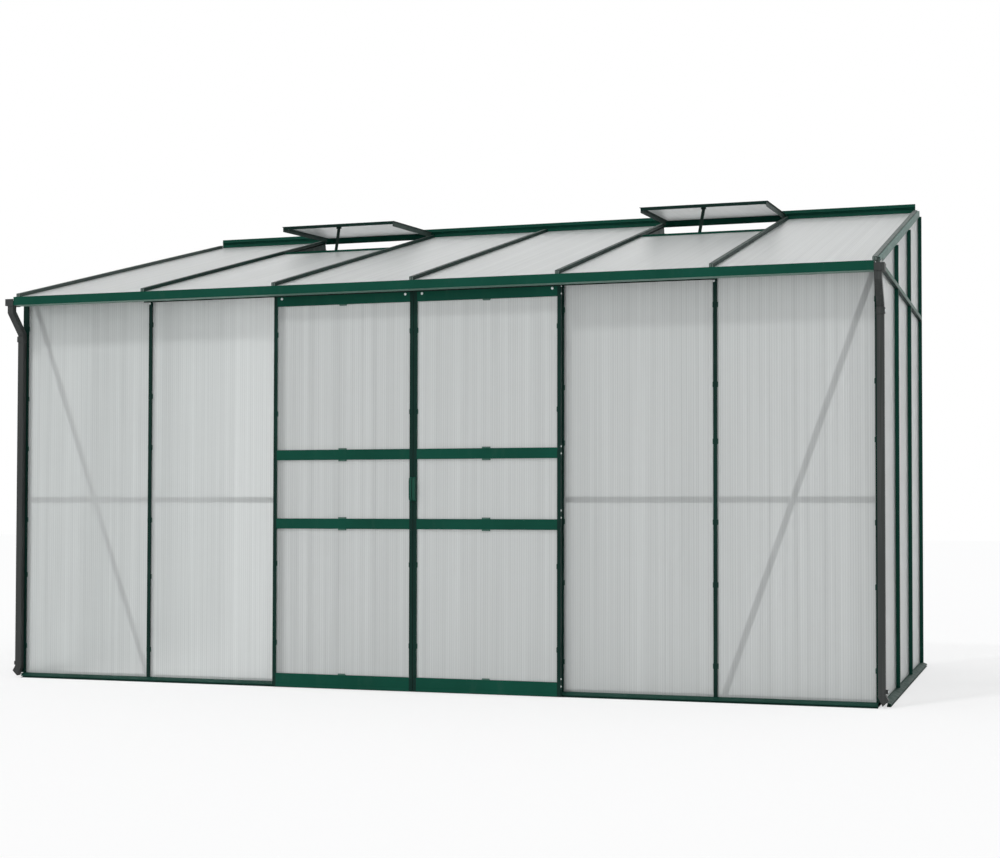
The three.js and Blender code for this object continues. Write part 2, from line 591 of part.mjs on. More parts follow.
// The wall plate: a back web, a front lip over the roof sheets, a ledge under them, and the vents' hinge curl
function wallPlate() {
  const reach = CORNER_X - PLATE_END;
  const back = DEPTH - PLATE_WALL;
  const lipBack = PLATE_FACE + PLATE_WALL;
  const ledge = (y) => roofPlaneAt(y, -SEAT_DEPTH);
  const section = [
    [DEPTH, PLATE_BOTTOM],
    [DEPTH, PLATE_TOP],
    [PLATE_FACE, PLATE_TOP],
    [PLATE_FACE, roofPlaneAt(lipBack, 2 * FIT)],
    [lipBack, roofPlaneAt(lipBack, 2 * FIT)],
    [lipBack, PLATE_TOP - PLATE_WALL],
    [back, PLATE_TOP - PLATE_WALL],
    [back, ledge(back)],
    [lipBack, ledge(lipBack)],
    [lipBack, ledge(lipBack) - WALL],
    [back, ledge(back) - WALL],
    [back, PLATE_BOTTOM],
  ];
  const arc = (radius, from, to) => Array.from({ length: CURL_STEPS + 1 }, (_, i) => {
    const angle = THREE.MathUtils.degToRad(from + ((to - from) * i) / CURL_STEPS);
    return [HINGE_Y + radius * Math.cos(angle), HINGE_Z + radius * Math.sin(angle)];
  });
  const fullTurn = 360;
  const mouthEnd = CURL_OPEN_FROM + fullTurn;
  const curl = [...arc(HINGE_CURL, CURL_OPEN_TO, mouthEnd), ...arc(HINGE_GROOVE, mouthEnd, CURL_OPEN_TO)];
  const curlReach = reach - PLATE_WALL;
  return join(alongX(section, [-reach, reach]), alongX(curl, [-curlReach, curlReach]));
}

// A roof bar in the roof's frame, cut upright at both ends and notched over the eave beam.
// An end bar also has a skirt that hangs down outside the side sheets.
function roofBar(side) {
  const skirt = [
    [BAR_WIDTH / 2, SKIRT_TOP],
    [POST_OUT, SKIRT_TOP],
    [POST_OUT, SKIRT_BOTTOM],
    [POST_OUT - WALL, SKIRT_BOTTOM],
    [POST_OUT - WALL, SKIRT_TOP - WALL],
    [BAR_WIDTH / 2, SKIRT_TOP - WALL],
  ];
  const section = side
    ? barSection(ROOF_BAR_CAP, ROOF_BAR_DEPTH, { skirt }).map(([across, above]) => [side * across, above])
    : barSection(ROOF_BAR_CAP, ROOF_BAR_DEPTH);
  const width = [-OVERRUN, OVERRUN];
  const tall = [0, PLATE_TOP + DEPTH];
  const between = box(width, [EAVE_Y, PLATE_FACE - FIT], tall).applyMatrix4(intoRoof);
  const overBeam = box(width, [-DEPTH, FRAME_DEPTH + FIT], tall).applyMatrix4(intoRoof);
  const notch = overlapOf(overBeam, box(width, [-DEPTH, DEPTH], [-2 * ROOF_BAR_DEPTH, -SHEET]));
  const bar = cut(overlapOf(alongY(section, [-OVERRUN, DEPTH + 2 * OVERRUN]), between), notch);
  if (!side) return bar;
  const besideCap = box([side * (BAR_WIDTH / 2 + FIT), side * OVERRUN],
    [-DEPTH, GUTTER_BACK + FIT], tall).applyMatrix4(intoRoof);
  return cut(bar, besideCap);
}

// Sheets. The front and side sheets stand in pairs and threes that share one strip above the bars.
function frontGlazing(side) {
  const slotTop = BAR_TOP + FIT;
  const lineBetween = CORNER_X - BAY_PITCH;
  const outer = CORNER_X - SHEET_FROM_LINE;
  const inner = DOORWAY_REACH + SHEET_FROM_LINE;
  const points = [
    [outer, SHEET_BOTTOM],
    [outer, FRONT_SHEET_TOP],
    [inner, FRONT_SHEET_TOP],
    [inner, SHEET_BOTTOM],
    [lineBetween - SHEET_FROM_LINE, SHEET_BOTTOM],
    [lineBetween - SHEET_FROM_LINE, slotTop],
    [lineBetween + SHEET_FROM_LINE, slotTop],
    [lineBetween + SHEET_FROM_LINE, SHEET_BOTTOM],
  ].map(([x, z]) => [side * x, z]);
  return alongY(points, [0, SHEET]);
}

function sideGlazing(side) {
  const first = SEAT_BACK + SHEET_SIDE_GAP;
  const last = sideBarY(BAYS_DEEP) - SHEET_FROM_LINE;
  const slots = [];
  for (let bay = BAYS_DEEP - 1; bay > 0; bay -= 1) {
    const near = sideBarY(bay) - SHEET_FROM_LINE;
    const far = sideBarY(bay) + SHEET_FROM_LINE;
    const top = roofPlaneAt(far, SKIRT_BOTTOM);
    slots.push([far, SHEET_BOTTOM], [far, top], [near, top], [near, SHEET_BOTTOM]);
  }
  const points = [
    [first, SHEET_BOTTOM],
    [first, roofPlaneAt(first, SIDE_SHEET_TOP)],
    [last, roofPlaneAt(last, SIDE_SHEET_TOP)],
    [last, SHEET_BOTTOM],
    ...slots,
  ];
  const faces = [side * SIDE_SHEET_X, side * (SIDE_SHEET_X - SHEET)];
  return alongX(points, [Math.min(...faces), Math.max(...faces)]);
}

// A roof sheet in the roof's frame, from below the bars' front ends to the plate or the vent sill
function roofSheet(underVent) {
  const upper = underVent
    ? VENT_SILL_BACK - WALL - SHEET_SIDE_GAP
    : (DEPTH - PLATE_WALL - SHEET_SIDE_GAP * 2 - SHEET / 2 - EAVE_Y) / Math.cos(SLOPE);
  const half = BAY_HALF - SHEET_FROM_LINE;
  return box([-half, half], [-SHEET_OVERHANG, upper], [-SHEET, 0]);
}

// The fixed bar under a vent's front edge, with a slot for the short sheet and an upstand behind the leaf's edge
function ventSill() {
  const back = VENT_SILL_BACK;
  const inside = back - WALL;
  const half = VENT_LEG_X - WALL - SHEET_SIDE_GAP;
  const section = [
    [back, VENT_SILL_DROP],
    [back, VENT_SILL_UPSTAND],
    [inside, VENT_SILL_UPSTAND],
    [inside, FIT + WALL],
    [back - VENT_SILL_DEPTH, FIT + WALL],
    [back - VENT_SILL_DEPTH, FIT],
    [inside, FIT],
    [inside, -SEAT_DEPTH],
    [back - VENT_SILL_LOWER_LIP, -SEAT_DEPTH],
    [back - VENT_SILL_LOWER_LIP, -SEAT_BACK],
    [inside, -SEAT_BACK],
    [inside, VENT_SILL_DROP],
  ];
  return alongX(section, [-half, half]);
}

// A vent leaf's frame, with the hinge line as its origin and its length towards -y
function ventFrame() {
  const front = -VENT_LENGTH;
  const rear = -VENT_REAR;
  const leg = VENT_LEG_X;
  const inside = leg - WALL;
  const flange = BAY_HALF - VENT_FLANGE_SIDE_GAP;
  const window = inside - VENT_BORDER;
  const pivotY = front + STAY_PIVOT_BACK;
  const lugInner = STAY_WIDTH / 2 + LUG_GAP;
  const legBottom = VENT_LEAF - VENT_LEG;
  const across = [
    [flange, VENT_LEAF],
    [-flange, VENT_LEAF],
    [-flange, -VENT_LEAF],
    [-leg, -VENT_LEAF],
    [-leg, legBottom],
    [leg, legBottom],
    [leg, -VENT_LEAF],
    [flange, -VENT_LEAF],
  ];
  const underside = [
    [OVERRUN, VENT_BODY_BOTTOM],
    [front + WALL, VENT_BODY_BOTTOM],
    [front + WALL, VENT_LEAF - VENT_FRONT_LEG],
    [front - OVERRUN, VENT_LEAF - VENT_FRONT_LEG],
    [front - OVERRUN, -OVERRUN],
    [OVERRUN, -OVERRUN],
  ];
  const leaf = cut(alongY(across, [front, rear]), alongX(underside, [-inside, inside]));
  const solid = join(
    leaf,
    box([-inside, inside], [rear - WALL / 2, 0], [-VENT_NECK, VENT_NECK]),
    rodX(HINGE_BEAD, 2 * leg, BEAD_SIDES),
    rodX(STAY_PIN, 2 * lugInner + LUG_THICKNESS, STAY_SIDES).translate(0, pivotY, -STAY_PIVOT_DROP),
    ...SIDES.map(([, side]) => box([side * lugInner, side * (lugInner + LUG_THICKNESS)],
      [pivotY - LUG_HALF_LENGTH, pivotY + LUG_HALF_LENGTH],
      [VENT_BODY_BOTTOM + WALL / 2, -STAY_PIVOT_DROP - LUG_DROP])),
  );
  const opening = box([-window, window],
    [front + WALL + VENT_FRONT_BORDER, rear - WALL - VENT_BORDER], [-VENT_LEG, VENT_LEG]);
  const slot = box([-inside, inside], [front + WALL, rear - WALL], [VENT_SLOT_BOTTOM, -VENT_LEAF]);
  return cut(solid, opening, slot);
}

function ventSheet() {
  const half = VENT_LEG_X - WALL - SHEET_SIDE_GAP;
  return box([-half, half],
    [-VENT_LENGTH + WALL + SHEET_SIDE_GAP, -VENT_REAR - WALL - SHEET_SIDE_GAP],
    [-VENT_LEAF - FIT - SHEET, -VENT_LEAF - FIT]);
}

// A vent's stay: a barrel on the leaf's pin and a flat arm that slants a little to one side
function ventStay() {
  const half = STAY_WIDTH / 2;
  const arm = [
    [-half, -STAY_ROOT],
    [half, -STAY_ROOT],
    [half + STAY_SIDE_DRIFT, -STAY_LENGTH],
    [-half + STAY_SIDE_DRIFT, -STAY_LENGTH],
  ];
  return cut(join(rodX(STAY_BARREL, STAY_WIDTH, STAY_SIDES),
    alongY(arm, [-STAY_THICKNESS / 2, STAY_THICKNESS / 2])), rodX(STAY_BORE, 2 * STAY_WIDTH, STAY_SIDES));
}

// Bracing inside the front bars, and the tie outside each side
const midRail = () => {
  const foot = BAR_FOOT_WIDTH / 2;
  const y = WALL_BAR_DEPTH + FIT;
  return box([DOORWAY_REACH - foot, CORNER_X + foot], [y, y + MID_RAIL_THICKNESS],
    [-MID_RAIL_HEIGHT / 2, MID_RAIL_HEIGHT / 2]);
};

function diagonalBrace(side) {
  const line = [
    [side * (CORNER_X - BRACE_TOP_IN), BRACE_TOP_Z],
    [side * (CORNER_X - BRACE_FOOT_IN), BRACE_FOOT_Z],
  ];
  const y = FRAME_DEPTH + FIT;
  return alongY(band(line, BRACE_WIDTH / 2), [y, y + BRACE_THICKNESS]);
}

// The tie outside the side sheets, from the corner post to the wall post's far edge
function sideTie(side) {
  const near = SIDE_SHEET_X + FIT;
  const far = SIDE_SHEET_X + SIDE_BAR_CAP;
  const section = [
    [near, TIE_BOTTOM],
    [far, TIE_BOTTOM],
    [far, TIE_TOP],
    [near, TIE_TOP],
    [near, TIE_TOP - WALL],
    [far - WALL, TIE_TOP - WALL],
    [far - WALL, TIE_BOTTOM + WALL],
    [near, TIE_BOTTOM + WALL],
  ].map(([x, z]) => [side * x, z]);
  const body = alongY(section, [CORNER_LIP + FIT, sideBarY(BAYS_DEEP) + BAR_WIDTH / 2]);
  return cut(body, aboveRoofPlane(SKIRT_BOTTOM - FIT, [side * CORNER_X, side * (SIDE_SHEET_X + OVERRUN)]));
}

// A downpipe with its gutter end cap: open cap, swan neck, collar, pipe, clip lug and shoe in one moulding
function downpipe(side) {
  const capInner = CORNER_X + FIT;
  const inner = capInner + SLEEVE;
  const outer = inner + PIPE_WIDTH;
  const middle = (inner + outer) / 2;
  const at = (a, b) => [side * a, side * b].sort((p, q) => p - q);
  const capFront = GUTTER_FRONT - CAP_PROUD;
  const capBack = GUTTER_BACK - FIT;
  const pipeFront = PIPE_BACK - PIPE_DEPTH;
  const path = (top, bottom) => [
    [NECK_MIDDLE, top],
    [NECK_MIDDLE, NECK_BEND_Z],
    [PIPE_MIDDLE, PIPE_BEND_Z],
    [PIPE_MIDDLE, bottom],
  ];
  const shoe = [
    [inner - SLEEVE, SHOE_TOP],
    [inner - SLEEVE, SHOE_BEND],
    [outer + SHOE_HEEL, PIPE_FOOT_Z],
    [outer + SHOE_REACH, SHOE_LIP],
    [outer + SLEEVE, SHOE_TOP],
  ].map(([x, z]) => [side * x, z]);
  const solid = join(
    box(at(capInner, capInner + CAP_LENGTH), [capFront, capBack], [CAP_BOTTOM, CAP_TOP]),
    alongX(band(path(CAP_BOTTOM + CAP_WALL / 2, SHOE_BEND), PIPE_DEPTH / 2), at(inner, outer)),
    box(at(inner - SLEEVE, outer + COLLAR_PROUD), [pipeFront - COLLAR_PROUD, PIPE_BACK + SLEEVE],
      [COLLAR_BOTTOM, COLLAR_BOTTOM + COLLAR_HEIGHT]),
    box(at(middle, outer + LUG_BAND_REACH),
      [PIPE_MIDDLE - LUG_BAND_DEPTH / 2, PIPE_MIDDLE + LUG_BAND_DEPTH / 2],
      [LUG_BAND_BOTTOM, LUG_BAND_BOTTOM + LUG_BAND_HEIGHT]),
    alongY(shoe, [pipeFront - SLEEVE, PIPE_BACK + SLEEVE]),
  );
  const trough = box(at(capInner - OVERRUN, capInner + CAP_LENGTH - CAP_WALL),
    [capFront + CAP_WALL, capBack - CAP_WALL], [CAP_BOTTOM + CAP_WALL, CAP_TOP + OVERRUN]);
  const bore = alongX(band(path(CAP_BOTTOM + 2 * CAP_WALL, SHOE_BEND - PIPE_WALL), PIPE_DEPTH / 2 - PIPE_WALL),
    at(inner + PIPE_WALL, outer - PIPE_WALL));
  // The shoe's bore leans out beside its walls, and runs on past the mouth
  const shoePath = [
    [inner - SLEEVE + PIPE_WALL, SHOE_BEND],
    [outer + SHOE_HEEL + PIPE_WALL, PIPE_FOOT_Z],
    [outer + SHOE_REACH - PIPE_WALL, PIPE_FOOT_Z],
    [outer + SHOE_REACH - PIPE_WALL, SHOE_LIP],
    [outer + SLEEVE - PIPE_WALL, SHOE_TOP],
  ].map(([x, z]) => [side * x, z]);
  const shoeBore = alongY(shoePath, [pipeFront + PIPE_WALL - SLEEVE, PIPE_BACK - PIPE_WALL + SLEEVE]);
  return cut(solid, trough, bore, shoeBore);
}

// The door track: a channel with two lips that the rollers run on, closed at both ends
function doorTrack() {
  const top = EAVE_PLATE - FIT;
  const section = [
    [TRACK_FRONT, TRACK_BOTTOM],
    [TRACK_FRONT, top],
    [TRACK_BACK, top],
    [TRACK_BACK, TRACK_BOTTOM],
    [TRACK_BACK - TRACK_LIP, TRACK_BOTTOM],
    [TRACK_BACK - TRACK_LIP, TRACK_BOTTOM + WALL],
    [TRACK_BACK - WALL, TRACK_BOTTOM + WALL],
    [TRACK_BACK - WALL, top - WALL],
    [TRACK_FRONT + WALL, top - WALL],
    [TRACK_FRONT + WALL, TRACK_BOTTOM + WALL],
    [TRACK_FRONT + TRACK_LIP, TRACK_BOTTOM + WALL],
    [TRACK_FRONT + TRACK_LIP, TRACK_BOTTOM],
  ];
  const into = WALL / 2; // the stops are let into the channel's walls
  const stops = SIDES.map(([, side]) =>
    box([side * (TRACK_REACH - WALL), side * (TRACK_REACH - 2 * WALL)],
      [TRACK_FRONT + into, TRACK_BACK - into], [TRACK_BOTTOM + into, top - into]));
  return join(alongX(section, [-TRACK_REACH, TRACK_REACH]), ...stops);
}

// A door, with x = 0 at its meeting edge and its width towards +x for the right door
const rollerPlaces = [ROLLER_INSET, DOOR_WIDTH - ROLLER_INSET];

function doorFrame(side) {
  const middleRails = [LOWER_RAIL_MIDDLE, UPPER_RAIL_MIDDLE]
    .map((middle) => [middle - MIDDLE_RAIL_HEIGHT / 2, middle + MIDDLE_RAIL_HEIGHT / 2]);
  const [lower, upper] = middleRails;
  const panels = [[BOTTOM_RAIL_TOP, lower[0]], [lower[1], upper[0]], [upper[1], TOP_RAIL_BOTTOM]];
  const at = ([a, b]) => [side * a, side * b];
  // Stiles and rails around the three panels, `inset` mm inside their own surface
  const members = (inset) => cut(
    box(at([inset, DOOR_WIDTH - inset]), [DOOR_FRONT + inset, DOOR_BACK - inset],
      [DOOR_BOTTOM + inset, DOOR_TOP - inset]),
    ...panels.map(([bottom, top]) => box(at([DOOR_STILE - inset, DOOR_WIDTH - DOOR_STILE + inset]),
      [DOOR_FRONT - OVERRUN, DOOR_BACK + OVERRUN], [bottom - inset, top + inset])),
  );
  const clipX = [DOOR_WIDTH / 2 - DOOR_CLIP_LENGTH / 2, DOOR_WIDTH / 2 + DOOR_CLIP_LENGTH / 2];
  const clipDepth = [DOOR_FRONT + DOOR_CLIP_FACE, DOOR_SHEET_FRONT - FIT];
  const clips = middleRails.flatMap(([bottom, top]) => [
    box(at(clipX), clipDepth, [bottom - DOOR_CLIP_RISE, bottom + WALL / 2]),
    box(at(clipX), clipDepth, [top - WALL / 2, top + DOOR_CLIP_RISE]),
  ]);
  const hangerY = [ROLLER_Y - HANGER_THICKNESS / 2, ROLLER_Y + HANGER_THICKNESS / 2];
  const hangers = rollerPlaces.map((x) =>
    box([side * x - HANGER_WIDTH / 2, side * x + HANGER_WIDTH / 2], hangerY,
      [DOOR_TOP - HANGER_ROOT, ROLLER_Z + HANGER_RISE]));
  const tongue = box(at([TONGUE_INSET, DOOR_WIDTH - TONGUE_INSET]), [DOOR_BACK - WALL / 2, TONGUE_BACK],
    [DOOR_BOTTOM + FIT, DOOR_BOTTOM + FIT + TONGUE_THICKNESS]);
  const bite = DOOR_SHEET_BITE - SHEET_SIDE_GAP;
  const slot = box(at([bite, DOOR_WIDTH - bite]), [DOOR_SHEET_FRONT - FIT, DOOR_SHEET_FRONT + SHEET + FIT],
    [DOOR_BOTTOM + bite, DOOR_TOP - bite]);
  const bores = rollerPlaces.map((x) =>
    new THREE.CylinderGeometry(ROLLER_CORE + HANGER_BORE_GAP, ROLLER_CORE + HANGER_BORE_GAP, OVERRUN, ROLLER_SIDES)
      .translate(side * x, ROLLER_Y, ROLLER_Z));
  return cut(join(cut(members(0), members(WALL)), ...clips, ...hangers, tongue), slot, ...bores);
}

const doorSheet = (side) =>
  box([side * DOOR_SHEET_BITE, side * (DOOR_WIDTH - DOOR_SHEET_BITE)],
    [DOOR_SHEET_FRONT, DOOR_SHEET_FRONT + SHEET],
    [DOOR_BOTTOM + DOOR_SHEET_BITE, DOOR_TOP - DOOR_SHEET_BITE]);

// A spool of two treads on a core that turns in the hanger's bore
function roller() {
  const end = ROLLER_LENGTH / 2;
  const tread = end - ROLLER_TREAD;
  const profile = [
    [0, -end],
    [ROLLER_RADIUS, -end],
    [ROLLER_RADIUS, -tread],
    [ROLLER_CORE, -tread],
    [ROLLER_CORE, tread],
    [ROLLER_RADIUS, tread],
    [ROLLER_RADIUS, end],
    [0, end],
  ].map(([radius, y]) => new THREE.Vector2(radius, y));
  return new THREE.LatheGeometry(profile, ROLLER_SIDES);
}

function doorPull(side) {
  const back = DOOR_FRONT - FIT;
  const face = back - PULL_REACH;
  const shoulder = back - PULL_FACE_REACH;
  const points = [
    [back, 0],
    [back, PULL_HEIGHT],
    [shoulder, PULL_HEIGHT - PULL_END_SLOPE],
    [face, PULL_HEIGHT - PULL_TIP_SLOPE],
    [face, PULL_TIP_SLOPE],
    [shoulder, PULL_END_SLOPE],
  ];
  const near = side * PULL_INSET;
  const far = side * (PULL_INSET + PULL_WIDTH);
  return alongX(points, [Math.min(near, far), Math.max(near, far)]);
}

// The assembly
const greenhouse = new THREE.Group();
const roof = new THREE.Group();
roof.position.set(0, EAVE_Y, EAVE_Z);
roof.rotation.x = SLOPE;
greenhouse.add(roof);

const lineX = (line) => line * BAY_PITCH - CORNER_X;

add(greenhouse, 'base_frame', baseFrame(), darkGreenPaint);
add(greenhouse, 'eave_gutter', eaveGutter(), greenPaint);
add(greenhouse, 'wall_plate', wallPlate(), greenPaint);
add(greenhouse, 'door_track', doorTrack(), darkGreenPaint);

for (let line = 1; line < BAYS_WIDE; line += 1) {
  if (line !== BAYS_WIDE / 2) {
    add(greenhouse, `front_bar_${line}`, frontBar(), greenPaint, [lineX(line), 0, 0]);
  }
}

for (let line = 0; line <= BAYS_WIDE; line += 1) {
  const side = (line === BAYS_WIDE) - (line === 0);
  add(roof, `roof_bar_${line}`, roofBar(side), greenPaint, [lineX(line), 0, 0]);
}

for (let bay = 0; bay < BAYS_WIDE; bay += 1) {
  const baysOut = (2 * bay + 1 - BAYS_WIDE) / 2;
  const underVent = Math.abs(baysOut) === VENT_BAYS_OUT;
  add(roof, `roof_sheet_${bay + 1}`, roofSheet(underVent), twinWall, [baysOut * BAY_PITCH, 0, 0]);
}

for (const [name, side] of SIDES) {
  add(greenhouse, `corner_post_${name}`, cornerPost(side), greenPaint);
  add(greenhouse, `wall_post_${name}`, wallPost(side), greenPaint);
  for (let bay = 1; bay < BAYS_DEEP; bay += 1) {
    add(greenhouse, `side_bar_${name}_${bay}`, sideBar(side, bay), greenPaint);
  }
  add(greenhouse, `front_glazing_${name}`, frontGlazing(side), twinWall);
  add(greenhouse, `side_glazing_${name}`, sideGlazing(side), twinWall);
  const railTurn = side < 0 ? -(CORNER_X + DOORWAY_REACH) : 0;
  add(greenhouse, `front_mid_rail_${name}`, midRail(), brightMetal, [railTurn, 0, MID_RAIL_Z]);
  add(greenhouse, `diagonal_brace_${name}`, diagonalBrace(side), brightMetal);
  add(greenhouse, `side_tie_${name}`, sideTie(side), greenPaint);
  add(greenhouse, `downpipe_${name}`, downpipe(side), greyPlastic);

  const door = new THREE.Group();
  door.position.x = side * DOOR_MEETING_GAP;
  greenhouse.add(door);
  add(door, `door_frame_${name}`, doorFrame(side), greenPaint);
  add(door, `door_glazing_${name}`, doorSheet(side), twinWall);
  add(door, `door_pull_${name}`, doorPull(side), greenPaint, [0, 0, PULL_BOTTOM]);
  rollerPlaces.forEach((x, i) => {
    const place = ['inner', 'outer'][i];
    add(door, `door_roller_${name}_${place}`, roller(), greyPlastic, [side * x, ROLLER_Y, ROLLER_Z]);
  });

  const ventX = side * VENT_BAYS_OUT * BAY_PITCH;
  add(roof, `vent_sill_${name}`, ventSill(), darkGreenPaint, [ventX, 0, 0]);
  const vent = new THREE.Group();
  vent.position.set(ventX, HINGE_Y, HINGE_Z);
  vent.rotation.x = REST_TILT;
  greenhouse.add(vent);
  add(vent, `vent_frame_${name}`, ventFrame(), greenPaint);
  add(vent, `vent_sheet_${name}`, ventSheet(), twinWall);
  const pivot = new THREE.Vector3(0, STAY_PIVOT_BACK - VENT_LENGTH, -STAY_PIVOT_DROP)
    .applyAxisAngle(new THREE.Vector3(1, 0, 0), REST_TILT);
  const stay = new THREE.Group();
  stay.position.set(ventX, HINGE_Y + pivot.y, HINGE_Z + pivot.z);
  stay.rotation.x = THREE.MathUtils.degToRad(STAY_LEAN_DEGREES);
  greenhouse.add(stay);
  add(stay, `vent_stay_${name}`, ventStay(), greenPaint);
}

// The origin goes under the middle of the box, whose front is the end caps' and whose back is the house's
greenhouse.position.y = -(GUTTER_FRONT - CAP_PROUD + DEPTH) / 2;

export default greenhouse;
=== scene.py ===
"""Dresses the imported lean-to greenhouse: powder-coated frame, fluted sheets, screws, clips and nuts."""

import json
import math

import bmesh
import bpy
from mathutils import Matrix, Vector


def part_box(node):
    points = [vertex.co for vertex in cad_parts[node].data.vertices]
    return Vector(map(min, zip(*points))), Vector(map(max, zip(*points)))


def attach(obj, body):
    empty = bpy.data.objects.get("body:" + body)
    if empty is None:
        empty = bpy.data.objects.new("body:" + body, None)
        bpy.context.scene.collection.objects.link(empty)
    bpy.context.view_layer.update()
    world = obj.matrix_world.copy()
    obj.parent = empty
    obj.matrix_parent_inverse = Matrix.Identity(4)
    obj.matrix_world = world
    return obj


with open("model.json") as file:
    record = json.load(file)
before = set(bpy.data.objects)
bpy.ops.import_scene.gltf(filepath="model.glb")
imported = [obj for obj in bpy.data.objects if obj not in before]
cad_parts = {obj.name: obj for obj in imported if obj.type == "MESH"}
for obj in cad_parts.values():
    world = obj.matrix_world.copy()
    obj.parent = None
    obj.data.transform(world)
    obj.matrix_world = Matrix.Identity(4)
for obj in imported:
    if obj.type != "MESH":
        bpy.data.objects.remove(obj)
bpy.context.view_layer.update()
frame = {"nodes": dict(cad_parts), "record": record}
scene = bpy.context.scene
record = frame["record"]
nodes = frame["nodes"]

MM = 0.001
LEFT, RIGHT = -1, 1
SIDES = {"left": LEFT, "right": RIGHT}
BAY = 628 * MM
END_LINE = 3  # bars stand on lines numbered from -3 to 3, one bay apart


def srgb(r, g, b):
    """A colour as a screen shows it, 0 to 255, in the linear values that shaders take."""
    def linear(v):
        v /= 255
        return v / 12.92 if v <= 0.04045 else ((v + 0.055) / 1.055) ** 2.4
    return (linear(r), linear(g), linear(b), 1)


def grey(v):
    return (v, v, v, 1)


# Shader helpers

def new_material(name):
    """An empty node material with its output and a Principled shader."""
    material = bpy.data.materials.new(name)
    material.use_nodes = True
    tree = material.node_tree
    tree.nodes.clear()
    output = tree.nodes.new("ShaderNodeOutputMaterial")
    shader = tree.nodes.new("ShaderNodeBsdfPrincipled")
    tree.links.new(shader.outputs["BSDF"], output.inputs["Surface"])
    return material, tree, shader


def feed(tree, socket, value):
    """Links an output to a socket, or sets the socket to a number."""
    if hasattr(value, "is_linked"):
        tree.links.new(value, socket)
    else:
        socket.default_value = value


def math_node(tree, operation, a, b=0.0, clamp=False):
    node = tree.nodes.new("ShaderNodeMath")
    node.operation = operation
    node.use_clamp = clamp
    feed(tree, node.inputs[0], a)
    feed(tree, node.inputs[1], b)
    return node.outputs["Value"]


def coordinate(tree, source="Object"):
    """The x, y and z outputs of a texture coordinate."""
    coords = tree.nodes.new("ShaderNodeTexCoord")
    split = tree.nodes.new("ShaderNodeSeparateXYZ")
    tree.links.new(coords.outputs[source], split.inputs["Vector"])
    return [split.outputs[axis] for axis in "XYZ"]


def noise(tree, scale, stretch=(1, 1, 1), detail=3):
    """Noise in metres, drawn out along the axes whose stretch is small."""
    coords = tree.nodes.new("ShaderNodeTexCoord")
    mapping = tree.nodes.new("ShaderNodeMapping")
    mapping.inputs["Scale"].default_value = stretch
    texture = tree.nodes.new("ShaderNodeTexNoise")
    texture.inputs["Scale"].default_value = scale
    texture.inputs["Detail"].default_value = detail
    tree.links.new(coords.outputs["Object"], mapping.inputs["Vector"])
    tree.links.new(mapping.outputs["Vector"], texture.inputs["Vector"])
    return texture.outputs["Fac"]


def ramp(tree, factor, first, last):
    """A colour ramp between two stops of (position, colour)."""
    node = tree.nodes.new("ShaderNodeValToRGB")
    for element, (position, color) in zip(node.color_ramp.elements, (first, last)):
        element.position, element.color = position, color
    tree.links.new(factor, node.inputs["Fac"])
    return node.outputs["Color"]


def mix_color(tree, factor, a, b):
    node = tree.nodes.new("ShaderNodeMix")
    node.data_type = "RGBA"
    feed(tree, node.inputs["Factor"], factor)
    feed(tree, node.inputs["A"], a)
    feed(tree, node.inputs["B"], b)
    return node.outputs["Result"]


def bump(tree, shader, height, strength, distance):
    node = tree.nodes.new("ShaderNodeBump")
    node.inputs["Strength"].default_value = strength
    node.inputs["Distance"].default_value = distance
    tree.links.new(height, node.inputs["Height"])
    tree.links.new(node.outputs["Normal"], shader.inputs["Normal"])


def mixed_surface(tree, factor, first, second):
    """Shows a mix of two shaders' outputs on the tree's surface."""
    mix = tree.nodes.new("ShaderNodeMixShader")
    tree.links.new(factor, mix.inputs["Fac"])
    tree.links.new(first, mix.inputs[1])
    tree.links.new(second, mix.inputs[2])
    output = next(node for node in tree.nodes if node.type in ("OUTPUT_MATERIAL", "OUTPUT_WORLD"))
    tree.links.new(mix.outputs["Shader"], output.inputs["Surface"])


# Powder coat. Each green is a pair, darkest and lightest.

# Darker than the rails' green: painted shade on the narrow bars and posts, the roof bars' sides, the doors'
# stiles and the tie's lower face
BAR_SHADE_GREEN = ((8, 37, 31), (13, 46, 39))
SIDE_BAR_GREEN = ((6, 54, 43), (11, 64, 52))
# Lightened and greyed as painted sheen of the sky on the roof bars; the inner roof bars' sides take the darker
# bar green as painted shade
ROOF_BAR_SHEEN_GREEN = ((48, 61, 57), (58, 72, 67))
SKIRT_GREEN = ((44, 84, 74), (56, 98, 88))
RAIL_GREEN = ((3, 63, 49), (9, 73, 58))
PULL_GREEN = ((14, 62, 50), (20, 72, 58))
# The vent frame: darkened as painted shade, and lighter and greyer on its sides as painted sheen
VENT_SHADE_GREEN = ((6, 34, 28), (12, 44, 37))
VENT_SIDE_SHEEN_GREEN = ((50, 66, 61), (60, 76, 71))
STAY_GREEN = ((14, 32, 27), (20, 40, 34))
SILL_GREEN = ((18, 56, 46), (26, 66, 56))
SIDE_SILL_GREEN = ((6, 44, 35), (12, 54, 44))
# The tie's upper face, painted lighter as its lit part; its lower face takes the darker bar green as painted
# shade
TIE_LIT_GREEN = ((62, 88, 78), (80, 106, 96))
FLOOR_LIT_GREEN = ((104, 130, 120), (118, 144, 134))
CLIP_GREEN = ((58, 88, 78), (74, 104, 94))

COAT_SHINE = 0.1
PULL_SHINE = 0.15
BRIGHT_SHINE = 0.3  # of clips and of the end roof bars
COAT_ROUGHNESS = (0.42, 0.54)  # smoothest and roughest
COAT_DUST = (104, 118, 110)
COAT_DUST_SHARE = 0.05
ORANGE_PEEL = 0.2 * MM


